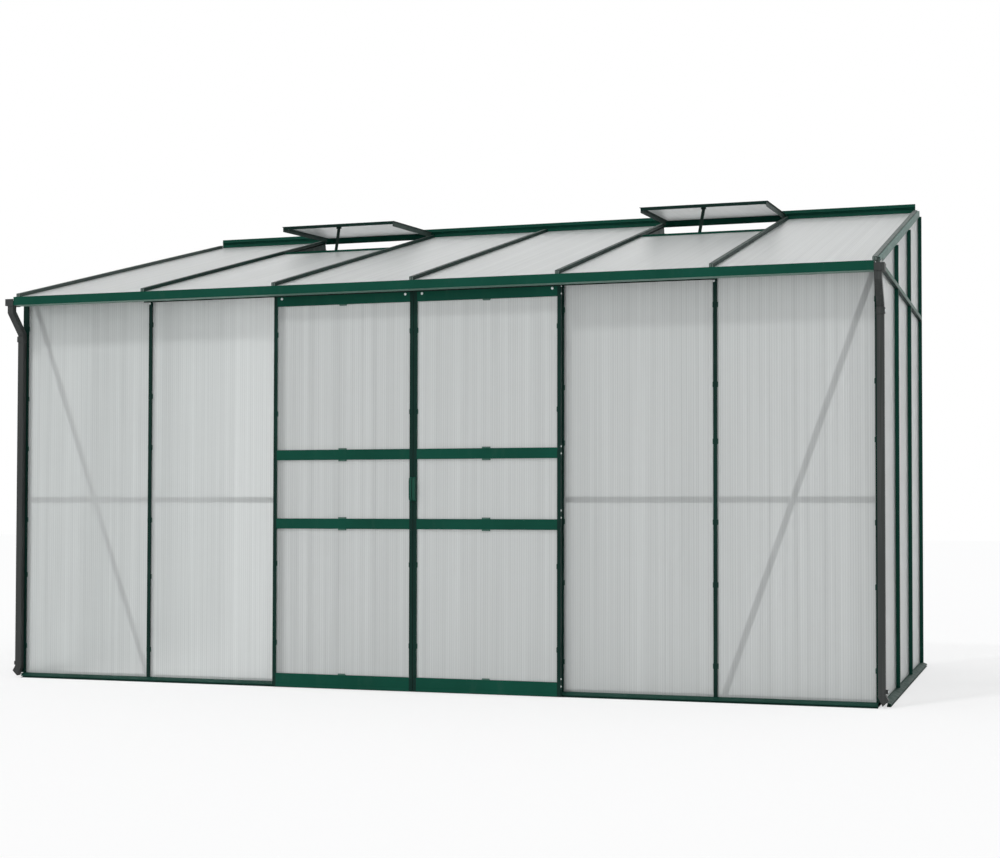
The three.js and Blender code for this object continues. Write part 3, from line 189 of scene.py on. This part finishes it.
def coat_color(tree, greens):
    """Powder coat's colour: a slow drift, and dust that has settled in thin runs."""
    dark, light = greens
    drift = noise(tree, 3.0, detail=5)
    cloud = ramp(tree, drift, (0.3, srgb(*dark)), (0.7, srgb(*light)))
    runs = noise(tree, 26.0, stretch=(1, 1, 0.35), detail=6)
    dust = ramp(tree, runs, (0.56, grey(0)), (0.8, grey(1)))
    return mix_color(tree, math_node(tree, "MULTIPLY", dust, COAT_DUST_SHARE), cloud, srgb(*COAT_DUST))


def finish_coat(tree, shader, shine):
    """Satin gloss that varies a little, over a fine orange peel."""
    smooth, rough = COAT_ROUGHNESS
    gloss = ramp(tree, noise(tree, 40, detail=2), (0.3, grey(smooth)), (0.7, grey(rough)))
    tree.links.new(gloss, shader.inputs["Roughness"])
    shader.inputs["Specular IOR Level"].default_value = shine
    bump(tree, shader, noise(tree, 900, detail=1), 0.15, ORANGE_PEEL)


def powder_coat(name, greens, shine=COAT_SHINE):
    material, tree, shader = new_material(name)
    tree.links.new(coat_color(tree, greens), shader.inputs["Base Color"])
    finish_coat(tree, shader, shine)
    return material


def two_tone_coat(name, greens, where, other_greens, shine=COAT_SHINE):
    """Powder coat with a second tone on some of a profile's faces, used for painted shade and painted light, such
    as the shade in a groove or light from the floor.
    """
    material, tree, shader = new_material(name)
    color = mix_color(tree, where(tree), coat_color(tree, greens), coat_color(tree, other_greens))
    tree.links.new(color, shader.inputs["Base Color"])
    finish_coat(tree, shader, shine)
    return material


# Where the second tone of a coat lies: these functions give 1 there and 0 elsewhere

STILE_INNER_EDGE = 16 * MM  # of the doors' meeting stiles, from the middle line
STILE_OUTER_EDGE = 621 * MM
TIE_SHADE_LINE = 1682 * MM  # below this height the tie's face is painted in shade, above it painted lit
SKIRT_FROM = 1893.5 * MM  # an end roof bar's skirt, from the middle
SIDE_SILL_FROM = 1892 * MM
FACING = 0.6  # least share of a face's direction that counts as facing a way


def from_middle(tree, source="Object"):
    """The size of x, on either side of the middle."""
    return math_node(tree, "ABSOLUTE", coordinate(tree, source)[0])


def on_shaded_stiles(tree):
    """On the doors' stiles, painted darker than the flat rails as the shade in their grooved profile."""
    across = from_middle(tree)
    meeting = math_node(tree, "LESS_THAN", across, STILE_INNER_EDGE)
    outer = math_node(tree, "GREATER_THAN", across, STILE_OUTER_EDGE)
    return math_node(tree, "ADD", meeting, outer, clamp=True)


def beyond(distance):
    """Further than a distance from the middle, along x."""
    return lambda tree: math_node(tree, "GREATER_THAN", from_middle(tree), distance)


# Above this height the tie is painted lit, below it in painted shade
def on_lit_upper_tie(tree):
    return math_node(tree, "GREATER_THAN", coordinate(tree)[2], TIE_SHADE_LINE)


def on_underside(tree):
    return math_node(tree, "LESS_THAN", coordinate(tree, "Normal")[2], -FACING)


# The bars' sides, facing along x: painted shade on the roof bars, painted sheen on the vent frame
def on_bar_side(tree):
    return math_node(tree, "GREATER_THAN", from_middle(tree, "Normal"), FACING)


# Metal and plastic

MILL_GREY = (112, 116, 118)
MILL_LINES = 14  # how much darker the drawing lines are, of 255
ZINC = (238, 242, 242)
PIPE_BLACK = ((44, 47, 46), (51, 54, 53))
ROLLER_BLACK = ((30, 31, 32), (40, 41, 42))
PLUG_GREY = ((96, 110, 105), (106, 120, 115))
BRUSH_BLACK = ((22, 34, 30), (28, 40, 36))
PLASTIC_SHINE = 0.3
PLASTIC_DUST = (112, 114, 112)
PLASTIC_DUST_SHARE = 0.14
FINE_GRAIN = 0.2 * MM


def brushed(name, color, roughness, metallic):
    """Mill-finished aluminium with fine drawing lines along its length."""
    material, tree, shader = new_material(name)
    lines = noise(tree, 400, stretch=(0.02, 1, 1), detail=2)
    dark = [c - MILL_LINES for c in color]
    tree.links.new(ramp(tree, lines, (0.3, srgb(*dark)), (0.7, srgb(*color))), shader.inputs["Base Color"])
    shader.inputs["Metallic"].default_value = metallic
    shader.inputs["Roughness"].default_value = roughness
    bump(tree, shader, lines, 0.2, FINE_GRAIN)
    return material


def moulded(name, tones, roughness, shine=PLASTIC_SHINE):
    """Moulded plastic with a fine grain, slow fading and thin runs of dust."""
    material, tree, shader = new_material(name)
    dark, light = tones
    fading = noise(tree, 6, stretch=(1, 1, 0.3), detail=4)
    fade = ramp(tree, fading, (0.3, srgb(*dark)), (0.7, srgb(*light)))
    dust = noise(tree, 120, stretch=(1, 1, 0.03), detail=3)
    runs = ramp(tree, dust, (0.5, grey(0)), (0.8, grey(1)))
    dusty = math_node(tree, "MULTIPLY", runs, PLASTIC_DUST_SHARE)
    color = mix_color(tree, dusty, fade, srgb(*PLASTIC_DUST))
    tree.links.new(color, shader.inputs["Base Color"])
    shader.inputs["Roughness"].default_value = roughness
    shader.inputs["Specular IOR Level"].default_value = shine
    bump(tree, shader, noise(tree, 1500, detail=1), 0.2, FINE_GRAIN)
    return material


# Twin-wall sheets

FLUTE_PITCH = 9.7 * MM
RIB_RISE = 0.4 * MM
RIB_SHARE = 0.3  # how much the ribs count in the sheet's tone
STREAKS = ((9, 0.9), (46, 1.5), (210, 1.5))  # noise scales across the ribs, and how much each counts
ALONG_RIBS = 0.004  # stretch of the streaks along the ribs
TONE_REACH = 17  # from a sheet's grey to its darkest and lightest tone, of 255
SHEET_ROUGHNESS = 0.3
SHEET_SHINE = 0.3
SHEET_IOR = 1.45
LET_THROUGH = 0.7  # what a sheet's face lets through of the light of lamps

SHEET_GREY = (206, 209, 208)
LEFT_LIGHTENED_GREY = (228, 231, 230)  # the sheets of the left end look lighter: painted lighter, as painted light
# the right side's sheets, painted a little darker as painted shade
SIDE_SHADED_GREY = (200, 204, 203)
SEE_THROUGH = 0.5
LEFT_SEE_THROUGH = 0.58
SIDE_SEE_THROUGH = 0.72
LEFT_SIDE_SEE_THROUGH = 0.8
ACROSS_X, ACROSS_Y = 0, 1  # the axis that crosses the ribs


def rib_tone(tree, ribs, across):
    """A tone from 0 to 1: the ribs, under uneven streaks that run along them."""
    stretch = [ALONG_RIBS] * 3
    stretch[across] = 1
    tone = math_node(tree, "MULTIPLY", ribs, RIB_SHARE)
    for scale, share in STREAKS:
        streak = math_node(tree, "SUBTRACT", noise(tree, scale, stretch, detail=2), 0.5)
        tone = math_node(tree, "ADD", tone, math_node(tree, "MULTIPLY", streak, share))
    return math_node(tree, "ADD", math_node(tree, "MULTIPLY", tone, 0.5), 0.5, clamp=True)


def twin_wall(name, across, color, see_through):
    """Translucent twin-wall sheet, whose thin ribs follow each other along the given axis."""
    material, tree, shader = new_material(name)
    turns = math_node(tree, "MULTIPLY", coordinate(tree)[across], math.tau / FLUTE_PITCH)
    ribs = math_node(tree, "COSINE", turns)
    dark = [c - TONE_REACH for c in color]
    light = [c + TONE_REACH for c in color]
    tone = ramp(tree, rib_tone(tree, ribs, across), (0, srgb(*dark)), (1, srgb(*light)))
    tree.links.new(tone, shader.inputs["Base Color"])
    bump(tree, shader, ribs, 0.2, RIB_RISE)
    shader.inputs["Roughness"].default_value = SHEET_ROUGHNESS
    shader.inputs["Specular IOR Level"].default_value = SHEET_SHINE
    shader.inputs["Transmission Weight"].default_value = see_through
    shader.inputs["IOR"].default_value = SHEET_IOR
    # Lamps light what is behind the sheet, softened by it
    path = tree.nodes.new("ShaderNodeLightPath")
    clear = tree.nodes.new("ShaderNodeBsdfTransparent")
    mixed_surface(tree, math_node(tree, "MULTIPLY", path.outputs["Is Shadow Ray"], LET_THROUGH),
                  shader.outputs["BSDF"], clear.outputs["BSDF"])
    return material


# Looks by material slot, and the special looks of nodes by the start of their name, of which the last wins

looks = {
    "frame_green": powder_coat("frame_green", RAIL_GREEN),
    "sill_green": powder_coat("sill_green", SILL_GREEN),
    "brace_metal": brushed("brace_metal", MILL_GREY, 0.5, 0.6),
    "pipe_plastic": moulded("pipe_plastic", PIPE_BLACK, 0.5),
    "roller_plastic": moulded("roller_plastic", ROLLER_BLACK, 0.4),
    "twin_wall": twin_wall("twin_wall_front", ACROSS_X, SHEET_GREY, SEE_THROUGH),
}
# The front bars and corner posts take a green darkened as painted shade
bar_shade_green = powder_coat("bar_shade_green", BAR_SHADE_GREEN)
end_bar_green = two_tone_coat("end_bar_green", ROOF_BAR_SHEEN_GREEN, beyond(SKIRT_FROM), SKIRT_GREEN, BRIGHT_SHINE)
special_looks = {
    "front_bar": bar_shade_green,
    "corner_post": bar_shade_green,
    "side_bar": powder_coat("side_bar_green", SIDE_BAR_GREEN),
    "wall_post": powder_coat("wall_post_green", SIDE_BAR_GREEN),
    # Roof bars: painted sheen on top, painted shade on their sides
    "roof_bar": two_tone_coat("roof_bar_sheen_and_shade", ROOF_BAR_SHEEN_GREEN, on_bar_side, BAR_SHADE_GREEN),
    "roof_bar_0": end_bar_green,
    "roof_bar_6": end_bar_green,
    "door_frame": two_tone_coat("door_shaded_stiles", RAIL_GREEN, on_shaded_stiles, BAR_SHADE_GREEN),
    "door_pull": powder_coat("pull_green", PULL_GREEN, PULL_SHINE),
    "eave_gutter": two_tone_coat("gutter_green", RAIL_GREEN, on_underside, FLOOR_LIT_GREEN),
    "side_tie": two_tone_coat("tie_lit_and_shaded", BAR_SHADE_GREEN, on_lit_upper_tie, TIE_LIT_GREEN),
    "base_frame": two_tone_coat("base_green", SILL_GREEN, beyond(SIDE_SILL_FROM), SIDE_SILL_GREEN),
    "vent_frame": two_tone_coat("vent_sheen_and_shade", VENT_SHADE_GREEN, on_bar_side, VENT_SIDE_SHEEN_GREEN),
    "vent_stay": powder_coat("stay_green", STAY_GREEN),
    "front_glazing_left": twin_wall("twin_wall_left_lightened", ACROSS_X, LEFT_LIGHTENED_GREY, LEFT_SEE_THROUGH),
    "side_glazing_left": twin_wall("twin_wall_side_left_lightened", ACROSS_Y, LEFT_LIGHTENED_GREY, LEFT_SIDE_SEE_THROUGH),
    "side_glazing_right": twin_wall("twin_wall_side_right_shaded", ACROSS_Y, SIDE_SHADED_GREY, SIDE_SEE_THROUGH),
}

for part in record["subparts"]:
    look = looks[part["material_slot"]]
    for start, special in special_looks.items():
        if part["node"].startswith(start):
            look = special
    materials = nodes[part["node"]].data.materials
    materials.clear()
    materials.append(look)

bolt_zinc = brushed("bolt_zinc", ZINC, 0.32, 0.25)
clip_green = powder_coat("clip_green", CLIP_GREEN, BRIGHT_SHINE)
plug_grey = moulded("plug_grey", PLUG_GREY, 0.6)
brush_dark = moulded("brush_dark", BRUSH_BLACK, 0.8, shine=0.1)


# Small fittings, as closed meshes in metres

def mesh_object(name, bm, material):
    mesh = bpy.data.meshes.new(name)
    bmesh.ops.recalc_face_normals(bm, faces=bm.faces)
    bm.to_mesh(mesh)
    bm.free()
    mesh.materials.append(material)
    obj = bpy.data.objects.new(name, mesh)
    scene.collection.objects.link(obj)
    return obj


def fitted(name, body, material, build):
    """A piece of many like fittings on one body."""
    bm = bmesh.new()
    build(bm)
    obj = mesh_object(name, bm, material)
    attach(obj, body)


def skin(bm, loops, smooth=False):
    """Quads between loops of corners, with a cap on each end."""
    count = len(loops[0])
    for first, second in zip(loops, loops[1:]):
        for i in range(count):
            j = (i + 1) % count
            face = bm.faces.new((first[i], first[j], second[j], second[i]))
            face.smooth = smooth
    bm.faces.new(loops[0])
    bm.faces.new(loops[-1])


def lathe(bm, place, out, rings, sides, smooth=True):
    """A closed turned shape on a level axis that points out, from rings of (radius, height above place)."""
    place, out, up = Vector(place), Vector(out), Vector((0, 0, 1))
    aside = out.cross(up)
    loops = []
    for radius, height in rings:
        loops.append([bm.verts.new(place + out * height + (up * math.cos(a) + aside * math.sin(a)) * radius)
                      for a in (math.tau * i / sides for i in range(sides))])
    skin(bm, loops, smooth)


def cuboid(bm, low, high):
    """A box between two opposite corners."""
    low, high = Vector(low), Vector(high)
    size = Matrix.Diagonal([abs(length) for length in high - low] + [1])
    bmesh.ops.create_cube(bm, size=1, matrix=Matrix.Translation((low + high) / 2) @ size)


ROUND_SIDES = 18
BOLT_SIDES = 12
HEX_SIDES = 6


def pan_head(bm, place, out, radius, height):
    """A pan-head screw with a washer under it and a socket in its head."""
    washer = radius * 1.25
    base = height * 0.22
    lathe(bm, place, out, [
        (washer, -height * 0.15), (washer, base * 0.8), (washer * 0.95, base), (radius, base),
        (radius, height * 0.62), (radius * 0.86, height * 0.86), (radius * 0.6, height),
        (radius * 0.42, height), (radius * 0.36, height * 0.6), (radius * 0.12, height * 0.5)], ROUND_SIDES)


def hex_nut(bm, place, out, radius, height):
    """A hex nut on its washer, with the bolt's end through it."""
    lathe(bm, place, out, [(radius * 1.2, -height * 0.1), (radius * 1.2, height * 0.2)], ROUND_SIDES)
    lathe(bm, place, out, [(radius, height * 0.1), (radius, height * 0.9),
                           (radius * 0.86, height)], HEX_SIDES, smooth=False)
    lathe(bm, place, out, [(radius * 0.5, height * 0.5), (radius * 0.5, height * 1.45),
                           (radius * 0.4, height * 1.55)], BOLT_SIDES)


# A clip's section as (sideways, out) in mm, and stations as (half lengths, share of width)
CLIP_SECTION = ((-1.5, -0.3), (2.8, -0.3), (3.9, 0.9), (3.3, 1.6), (2.4, 0.8), (-1.5, 0.8))
CLIP_STATIONS = ((-1, 0.55), (-0.8, 1), (0.8, 1), (1, 0.55))
CLIP_LENGTH = 22 * MM


def spring_clip(bm, place, side, out):
    """A glazing clip: a bent strip whose rolled edge shows beside the bar that hides the rest."""
    side, out, place = Vector(side).normalized(), Vector(out).normalized(), Vector(place)
    along = side.cross(out)
    loops = []
    for share, width in CLIP_STATIONS:
        middle = place + along * CLIP_LENGTH / 2 * share
        loops.append([bm.verts.new(middle + side * (s * MM * (width if s > 0 else 1)) + out * (h * MM))
                      for s, h in CLIP_SECTION])
    skin(bm, loops)


# Glazing clips of the house, at heights read off the photograph

FIXED_CLIPS = [z * MM for z in (1566, 1250, 1025, 706, 459, 140)]
BAR_HALF = 9 * MM
FRONT_BAR_HALF = 7.5 * MM
FRONT_LINES = (-2, -1, 1, 2)
CORNER_INSIDE = 1876.5 * MM
SHEET_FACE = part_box("front_glazing_left")[0][1]
SIDE_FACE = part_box("side_glazing_right")[1][0]
SIDE_LINES = [(box[0][1] + box[1][1]) / 2 for box in (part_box("side_bar_right_1"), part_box("side_bar_right_2"))]
OUT_FRONT = (0, -1, 0)


def front_clips(bm):
    for z in FIXED_CLIPS:
        for number in FRONT_LINES:
            line = BAY * number
            outwards = math.copysign(1, line)
            beside_doors = abs(number) == 1
            for way in (outwards,) if beside_doors else (outwards, -outwards):
                spring_clip(bm, (line + way * FRONT_BAR_HALF, SHEET_FACE, z), (way, 0, 0), OUT_FRONT)
        for side in SIDES.values():
            spring_clip(bm, (side * CORNER_INSIDE, SHEET_FACE, z), (-side, 0, 0), OUT_FRONT)


def side_clips(bm):
    for side in SIDES.values():
        face, out = side * SIDE_FACE, (side, 0, 0)
        for z in FIXED_CLIPS:
            for line in SIDE_LINES:
                for way in (LEFT, RIGHT):
                    spring_clip(bm, (face, line + way * BAR_HALF, z), (0, way, 0), out)


SLOPE = math.radians(14.5)
UP_SLOPE = Vector((0, math.cos(SLOPE), math.sin(SLOPE)))
ROOF_OUT = Vector((0, -math.sin(SLOPE), math.cos(SLOPE)))
ROOF_EAVE = Vector((0, -970.5 * MM, 1702.8 * MM))  # on the sheets' outer face, at the bars' front ends
ROOF_CLIPS = [d * MM for d in (190, 560, 930, 1300, 1660)]  # up the slope from the eave
VENT_FROM = 1420 * MM
VENT_BAYS = (-2, 1)  # by the number of the bar on a bay's left


def roof_clips(bm):
    for number in range(-END_LINE, END_LINE + 1):
        for way in (LEFT, RIGHT):
            bay = number if way == RIGHT else number - 1
            if not -END_LINE <= bay < END_LINE:
                continue
            for along in ROOF_CLIPS:
                if bay in VENT_BAYS and along > VENT_FROM:
                    continue
                place = ROOF_EAVE + UP_SLOPE * along + Vector((number * BAY + way * BAR_HALF, 0, 0))
                spring_clip(bm, place, (way, 0, 0), ROOF_OUT)


fitted("clips_front", "house", clip_green, front_clips)
fitted("clips_sides", "house", clip_green, side_clips)
fitted("clips_roof", "house", clip_green, roof_clips)


# Clips, tabs and screws of the doors

DOOR_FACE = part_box("door_frame_right")[0][1]
DOOR_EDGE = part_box("door_frame_right")[1][0]
DOOR_SHEET_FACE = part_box("door_glazing_right")[0][1]
DOOR_MIDDLE = 318.5 * MM
DOOR_CLIPS = [z * MM for z in (1497, 1160, 525, 190)]
# Heights of the rails' edges, and which way a tab stands off each: up 1, down -1
RAIL_EDGES = [(z * MM, way) for z, way in (
    (1617.6, -1), (1005.3, 1), (962.3, -1), (715.3, 1), (672.3, -1), (60.5, 1))]
TAB_HALF = 18 * MM
TAB_TOP_HALF = TAB_HALF * 0.8
TAB_RISE = 6.4 * MM
TAB_LAP = 0.6 * MM  # over the rail
TAB_FRONT = DOOR_FACE + 0.3 * MM
TAB_BACK = DOOR_SHEET_FACE + 0.2 * MM
TOP_SCREWS = [x * MM for x in (37, 600)]
TOP_SCREW_Z = 1650 * MM
TOP_SCREW = (4.4 * MM, 3.2 * MM)  # a head's radius and height, as for every screw and nut here
EDGE_SCREWS = [z * MM for z in (1659, 1628, 1010, 981, 751, 722, 74, 44)]
EDGE_SCREW_SETBACK = 5.5 * MM
EDGE_SCREW = (3.6 * MM, 2.6 * MM)


def rail_tab(bm, middle, z, way):
    """A tab that holds the sheet at a rail's edge."""
    outline = ((-TAB_HALF, 0), (-TAB_TOP_HALF, 1), (TAB_TOP_HALF, 1), (TAB_HALF, 0))
    skin(bm, [[bm.verts.new((middle + x, y, z + way * (TAB_RISE * share - TAB_LAP))) for x, share in outline]
              for y in (TAB_FRONT, TAB_BACK)])


def door_clips(side):
    def build(bm):
        for z in DOOR_CLIPS:
            for x, way in ((STILE_INNER_EDGE, side), (STILE_OUTER_EDGE, -side)):
                spring_clip(bm, (side * x, DOOR_SHEET_FACE, z), (way, 0, 0), OUT_FRONT)
        for z, way in RAIL_EDGES:
            rail_tab(bm, side * DOOR_MIDDLE, z, way)
    return build


def door_screws(side):
    def build(bm):
        for x in TOP_SCREWS:
            pan_head(bm, (side * x, DOOR_FACE, TOP_SCREW_Z), OUT_FRONT, *TOP_SCREW)
        for z in EDGE_SCREWS:
            pan_head(bm, (side * DOOR_EDGE, DOOR_FACE + EDGE_SCREW_SETBACK, z), (side, 0, 0), *EDGE_SCREW)
    return build


for name, side in SIDES.items():
    fitted(f"clips_door_{name}", f"{name}_door", clip_green, door_clips(side))
    fitted(f"screws_door_{name}", f"{name}_door", bolt_zinc, door_screws(side))


# Brush strip, plugs and foot strips

BRUSH_FRONT, BRUSH_BACK = 0.2 * MM, 2.4 * MM  # behind the track's front edge
BRUSH_HANG = 6 * MM
BRUSH_HELD = 3 * MM


def track_brush(bm):
    """The draught strip that hangs from the track's front edge, in front of the doors' tops."""
    (left, front, low), (right, _, _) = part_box("door_track")
    cuboid(bm, (left, front + BRUSH_FRONT, low - BRUSH_HANG), (right, front + BRUSH_BACK, low + BRUSH_HELD))


PLUG_HALF = 8 * MM
PLUG_FRONT, PLUG_BACK = 0.2 * MM, 3 * MM  # behind the bars' front ends
PLUG_LOW, PLUG_HIGH = 0.6 * MM, 14.2 * MM  # above the sheets
CORNER_PLUG = ((1885.2, -949, 1690), (1901.1, -944, 1713))  # beside an end bar's cap, in mm


def roof_bar_plugs(bm):
    """Plugs in the open front ends of the roof bars, and beside the two outer ones."""
    _, end, sheet = ROOF_EAVE
    for number in range(-END_LINE, END_LINE + 1):
        line = number * BAY
        cuboid(bm, (line - PLUG_HALF, end + PLUG_FRONT, sheet + PLUG_LOW),
               (line + PLUG_HALF, end + PLUG_BACK, sheet + PLUG_HIGH))
    for side in SIDES.values():
        low, high = (Vector(corner) * MM for corner in CORNER_PLUG)
        cuboid(bm, (side * low.x, low.y, low.z), (side * high.x, high.y, high.z))


GLAZED_BAYS = (-3, -2, 1, 2)  # by the number of the bar on a bay's left
STRIP_FROM_LINE = 14 * MM
STRIP_LOW, STRIP_HIGH = 20 * MM, 30 * MM
STRIP_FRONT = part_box("front_glazing_right")[1][1] + 0.2 * MM
STRIP_BACK = STRIP_FRONT + 1.5 * MM


def foot_strips(bm):
    """Strips behind the feet of the front sheets, seen through them as a darker band."""
    for bay in GLAZED_BAYS:
        cuboid(bm, (bay * BAY + STRIP_FROM_LINE, STRIP_FRONT, STRIP_LOW),
               ((bay + 1) * BAY - STRIP_FROM_LINE, STRIP_BACK, STRIP_HIGH))


fitted("track_brush", "house", brush_dark, track_brush)
fitted("roof_bar_plugs", "house", plug_grey, roof_bar_plugs)
fitted("foot_strips", "house", plug_grey, foot_strips)


# Screws and nuts of the house

BAR_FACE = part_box("front_bar_1")[0][1]
BAR_SCREW = (3.8 * MM, 2.6 * MM)
BAR_SCREW_Z = 1660 * MM
BAR_SCREW_ASIDE = 4 * MM
PIPE_MIDDLE = -911.1 * MM
COLLAR_FACE = 1916.1 * MM
COLLAR_SCREW = (4.2 * MM, 3.4 * MM)
COLLAR_SCREW_Z = 1518 * MM
LUG_FACE = 1922 * MM
LUG_SCREW = (4.2 * MM, 3.0 * MM)
LUG_SCREW_Z = 64 * MM
NUT = (5.8 * MM, 4.6 * MM)
RAIL_NUT_Z = 795 * MM
RAIL_NUTS = [x * MM for x in (640, 1256, 1872)]
BRACE_NUTS = [(x * MM, z * MM) for x, z in ((1862.5, 1668.5), (1281.5, 20.5))]


def house_screws(bm):
    for number in (FRONT_LINES[0], FRONT_LINES[-1]):
        pan_head(bm, (BAY * number - BAR_SCREW_ASIDE, BAR_FACE, BAR_SCREW_Z), OUT_FRONT, *BAR_SCREW)
    for side in SIDES.values():
        pan_head(bm, (side * COLLAR_FACE, PIPE_MIDDLE, COLLAR_SCREW_Z), (side, 0, 0), *COLLAR_SCREW)
        pan_head(bm, (side * LUG_FACE, PIPE_MIDDLE, LUG_SCREW_Z), (side, 0, 0), *LUG_SCREW)


def house_nuts(bm):
    """Nuts on the inside, where the mid rails and braces are bolted on."""
    rail_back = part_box("front_mid_rail_right")[1][1]
    brace_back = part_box("diagonal_brace_right")[1][1]
    for side in SIDES.values():
        for x in RAIL_NUTS:
            hex_nut(bm, (side * x, rail_back, RAIL_NUT_Z), (0, 1, 0), *NUT)
        for x, z in BRACE_NUTS:
            hex_nut(bm, (side * x, brace_back, z), (0, 1, 0), *NUT)


fitted("screws_house", "house", bolt_zinc, house_screws)
fitted("nuts_house", "house", bolt_zinc, house_nuts)


# Stage

FLOOR_HALF = 40.0
FLOOR_WHITE = 250
FLOOR_GLOW = 0.6  # how far what the camera sees of the floor is drawn towards white
SKY_STRENGTH = 0.78
SKY_COLOR = (0.985, 0.99, 1.0, 1)


def shown_to_viewer(tree):
    """1 for rays from the camera, and for those that mirrors and glass send on."""
    path = tree.nodes.new("ShaderNodeLightPath")
    shown = path.outputs["Is Camera Ray"]
    for ray in ("Is Glossy Ray", "Is Transmission Ray"):
        shown = math_node(tree, "MAXIMUM", shown, path.outputs[ray])
    return shown


def floor_white():
    """A matt floor that keeps its shadows, and looks nearly white."""
    material, tree, shader = new_material("floor")
    shader.inputs["Base Color"].default_value = srgb(FLOOR_WHITE, FLOOR_WHITE, FLOOR_WHITE)
    shader.inputs["Roughness"].default_value = 0.9
    shader.inputs["Specular IOR Level"].default_value = 0
    glow = tree.nodes.new("ShaderNodeEmission")
    mixed_surface(tree, math_node(tree, "MULTIPLY", shown_to_viewer(tree), FLOOR_GLOW),
                  shader.outputs["BSDF"], glow.outputs["Emission"])
    return material


def background(tree, color, strength):
    node = tree.nodes.new("ShaderNodeBackground")
    node.inputs["Color"].default_value = color
    node.inputs["Strength"].default_value = strength
    return node.outputs["Background"]


floor_bm = bmesh.new()
bmesh.ops.create_grid(floor_bm, x_segments=1, y_segments=1, size=FLOOR_HALF)
floor = mesh_object("floor", floor_bm, floor_white())

world = bpy.data.worlds.new("studio")
scene.world = world
world.use_nodes = True
sky = world.node_tree
sky.nodes.clear()
sky.nodes.new("ShaderNodeOutputWorld")
mixed_surface(sky, shown_to_viewer(sky),
              background(sky, SKY_COLOR, SKY_STRENGTH), background(sky, grey(1), 1))

KEY_FROM = Vector((-0.30, -0.53, 0.79))
KEY_STRENGTH = 0.85
KEY_SPREAD = math.radians(6)

key = bpy.data.lights.new("key", "SUN")
key.energy = KEY_STRENGTH
key.angle = KEY_SPREAD
key_object = bpy.data.objects.new("key", key)
scene.collection.objects.link(key_object)
key_object.rotation_euler = (-KEY_FROM).to_track_quat("-Z", "Y").to_euler()


# Camera, solved from the photograph's straight edges, in the frame's own axes

FRAME_WIDTH_PX = 1000
FRAME_HEIGHT_PX = 858
FOCAL_PX = 1719.26
PRINCIPAL_ROW_PX = 465.07
SENSOR_MM = 36
CAMERA_PLACE = Vector((2.5520, -7.5981, 0.7441))
CAMERA_YAW = math.radians(18.082)
CAMERA_PITCH = math.radians(1.566)
CAMERA_ROLL = math.radians(0.109)

camera_data = bpy.data.cameras.new("camera")
camera_data.sensor_width = SENSOR_MM
camera_data.lens = FOCAL_PX / FRAME_WIDTH_PX * SENSOR_MM
camera_data.shift_y = (PRINCIPAL_ROW_PX - FRAME_HEIGHT_PX / 2) / FRAME_WIDTH_PX
camera = bpy.data.objects.new("camera", camera_data)
scene.collection.objects.link(camera)
ahead = Vector((-math.sin(CAMERA_YAW) * math.cos(CAMERA_PITCH),
                math.cos(CAMERA_YAW) * math.cos(CAMERA_PITCH),
                math.sin(CAMERA_PITCH)))
level_right = ahead.cross(Vector((0, 0, 1))).normalized()
level_up = level_right.cross(ahead)
right = level_right * math.cos(CAMERA_ROLL) + level_up * math.sin(CAMERA_ROLL)
up = level_up * math.cos(CAMERA_ROLL) - level_right * math.sin(CAMERA_ROLL)
turn = Matrix((right, up, -ahead)).transposed()
camera.matrix_world = Matrix.Translation(CAMERA_PLACE) @ turn.to_4x4()
scene.camera = camera
scene.view_settings.view_transform = "Standard"
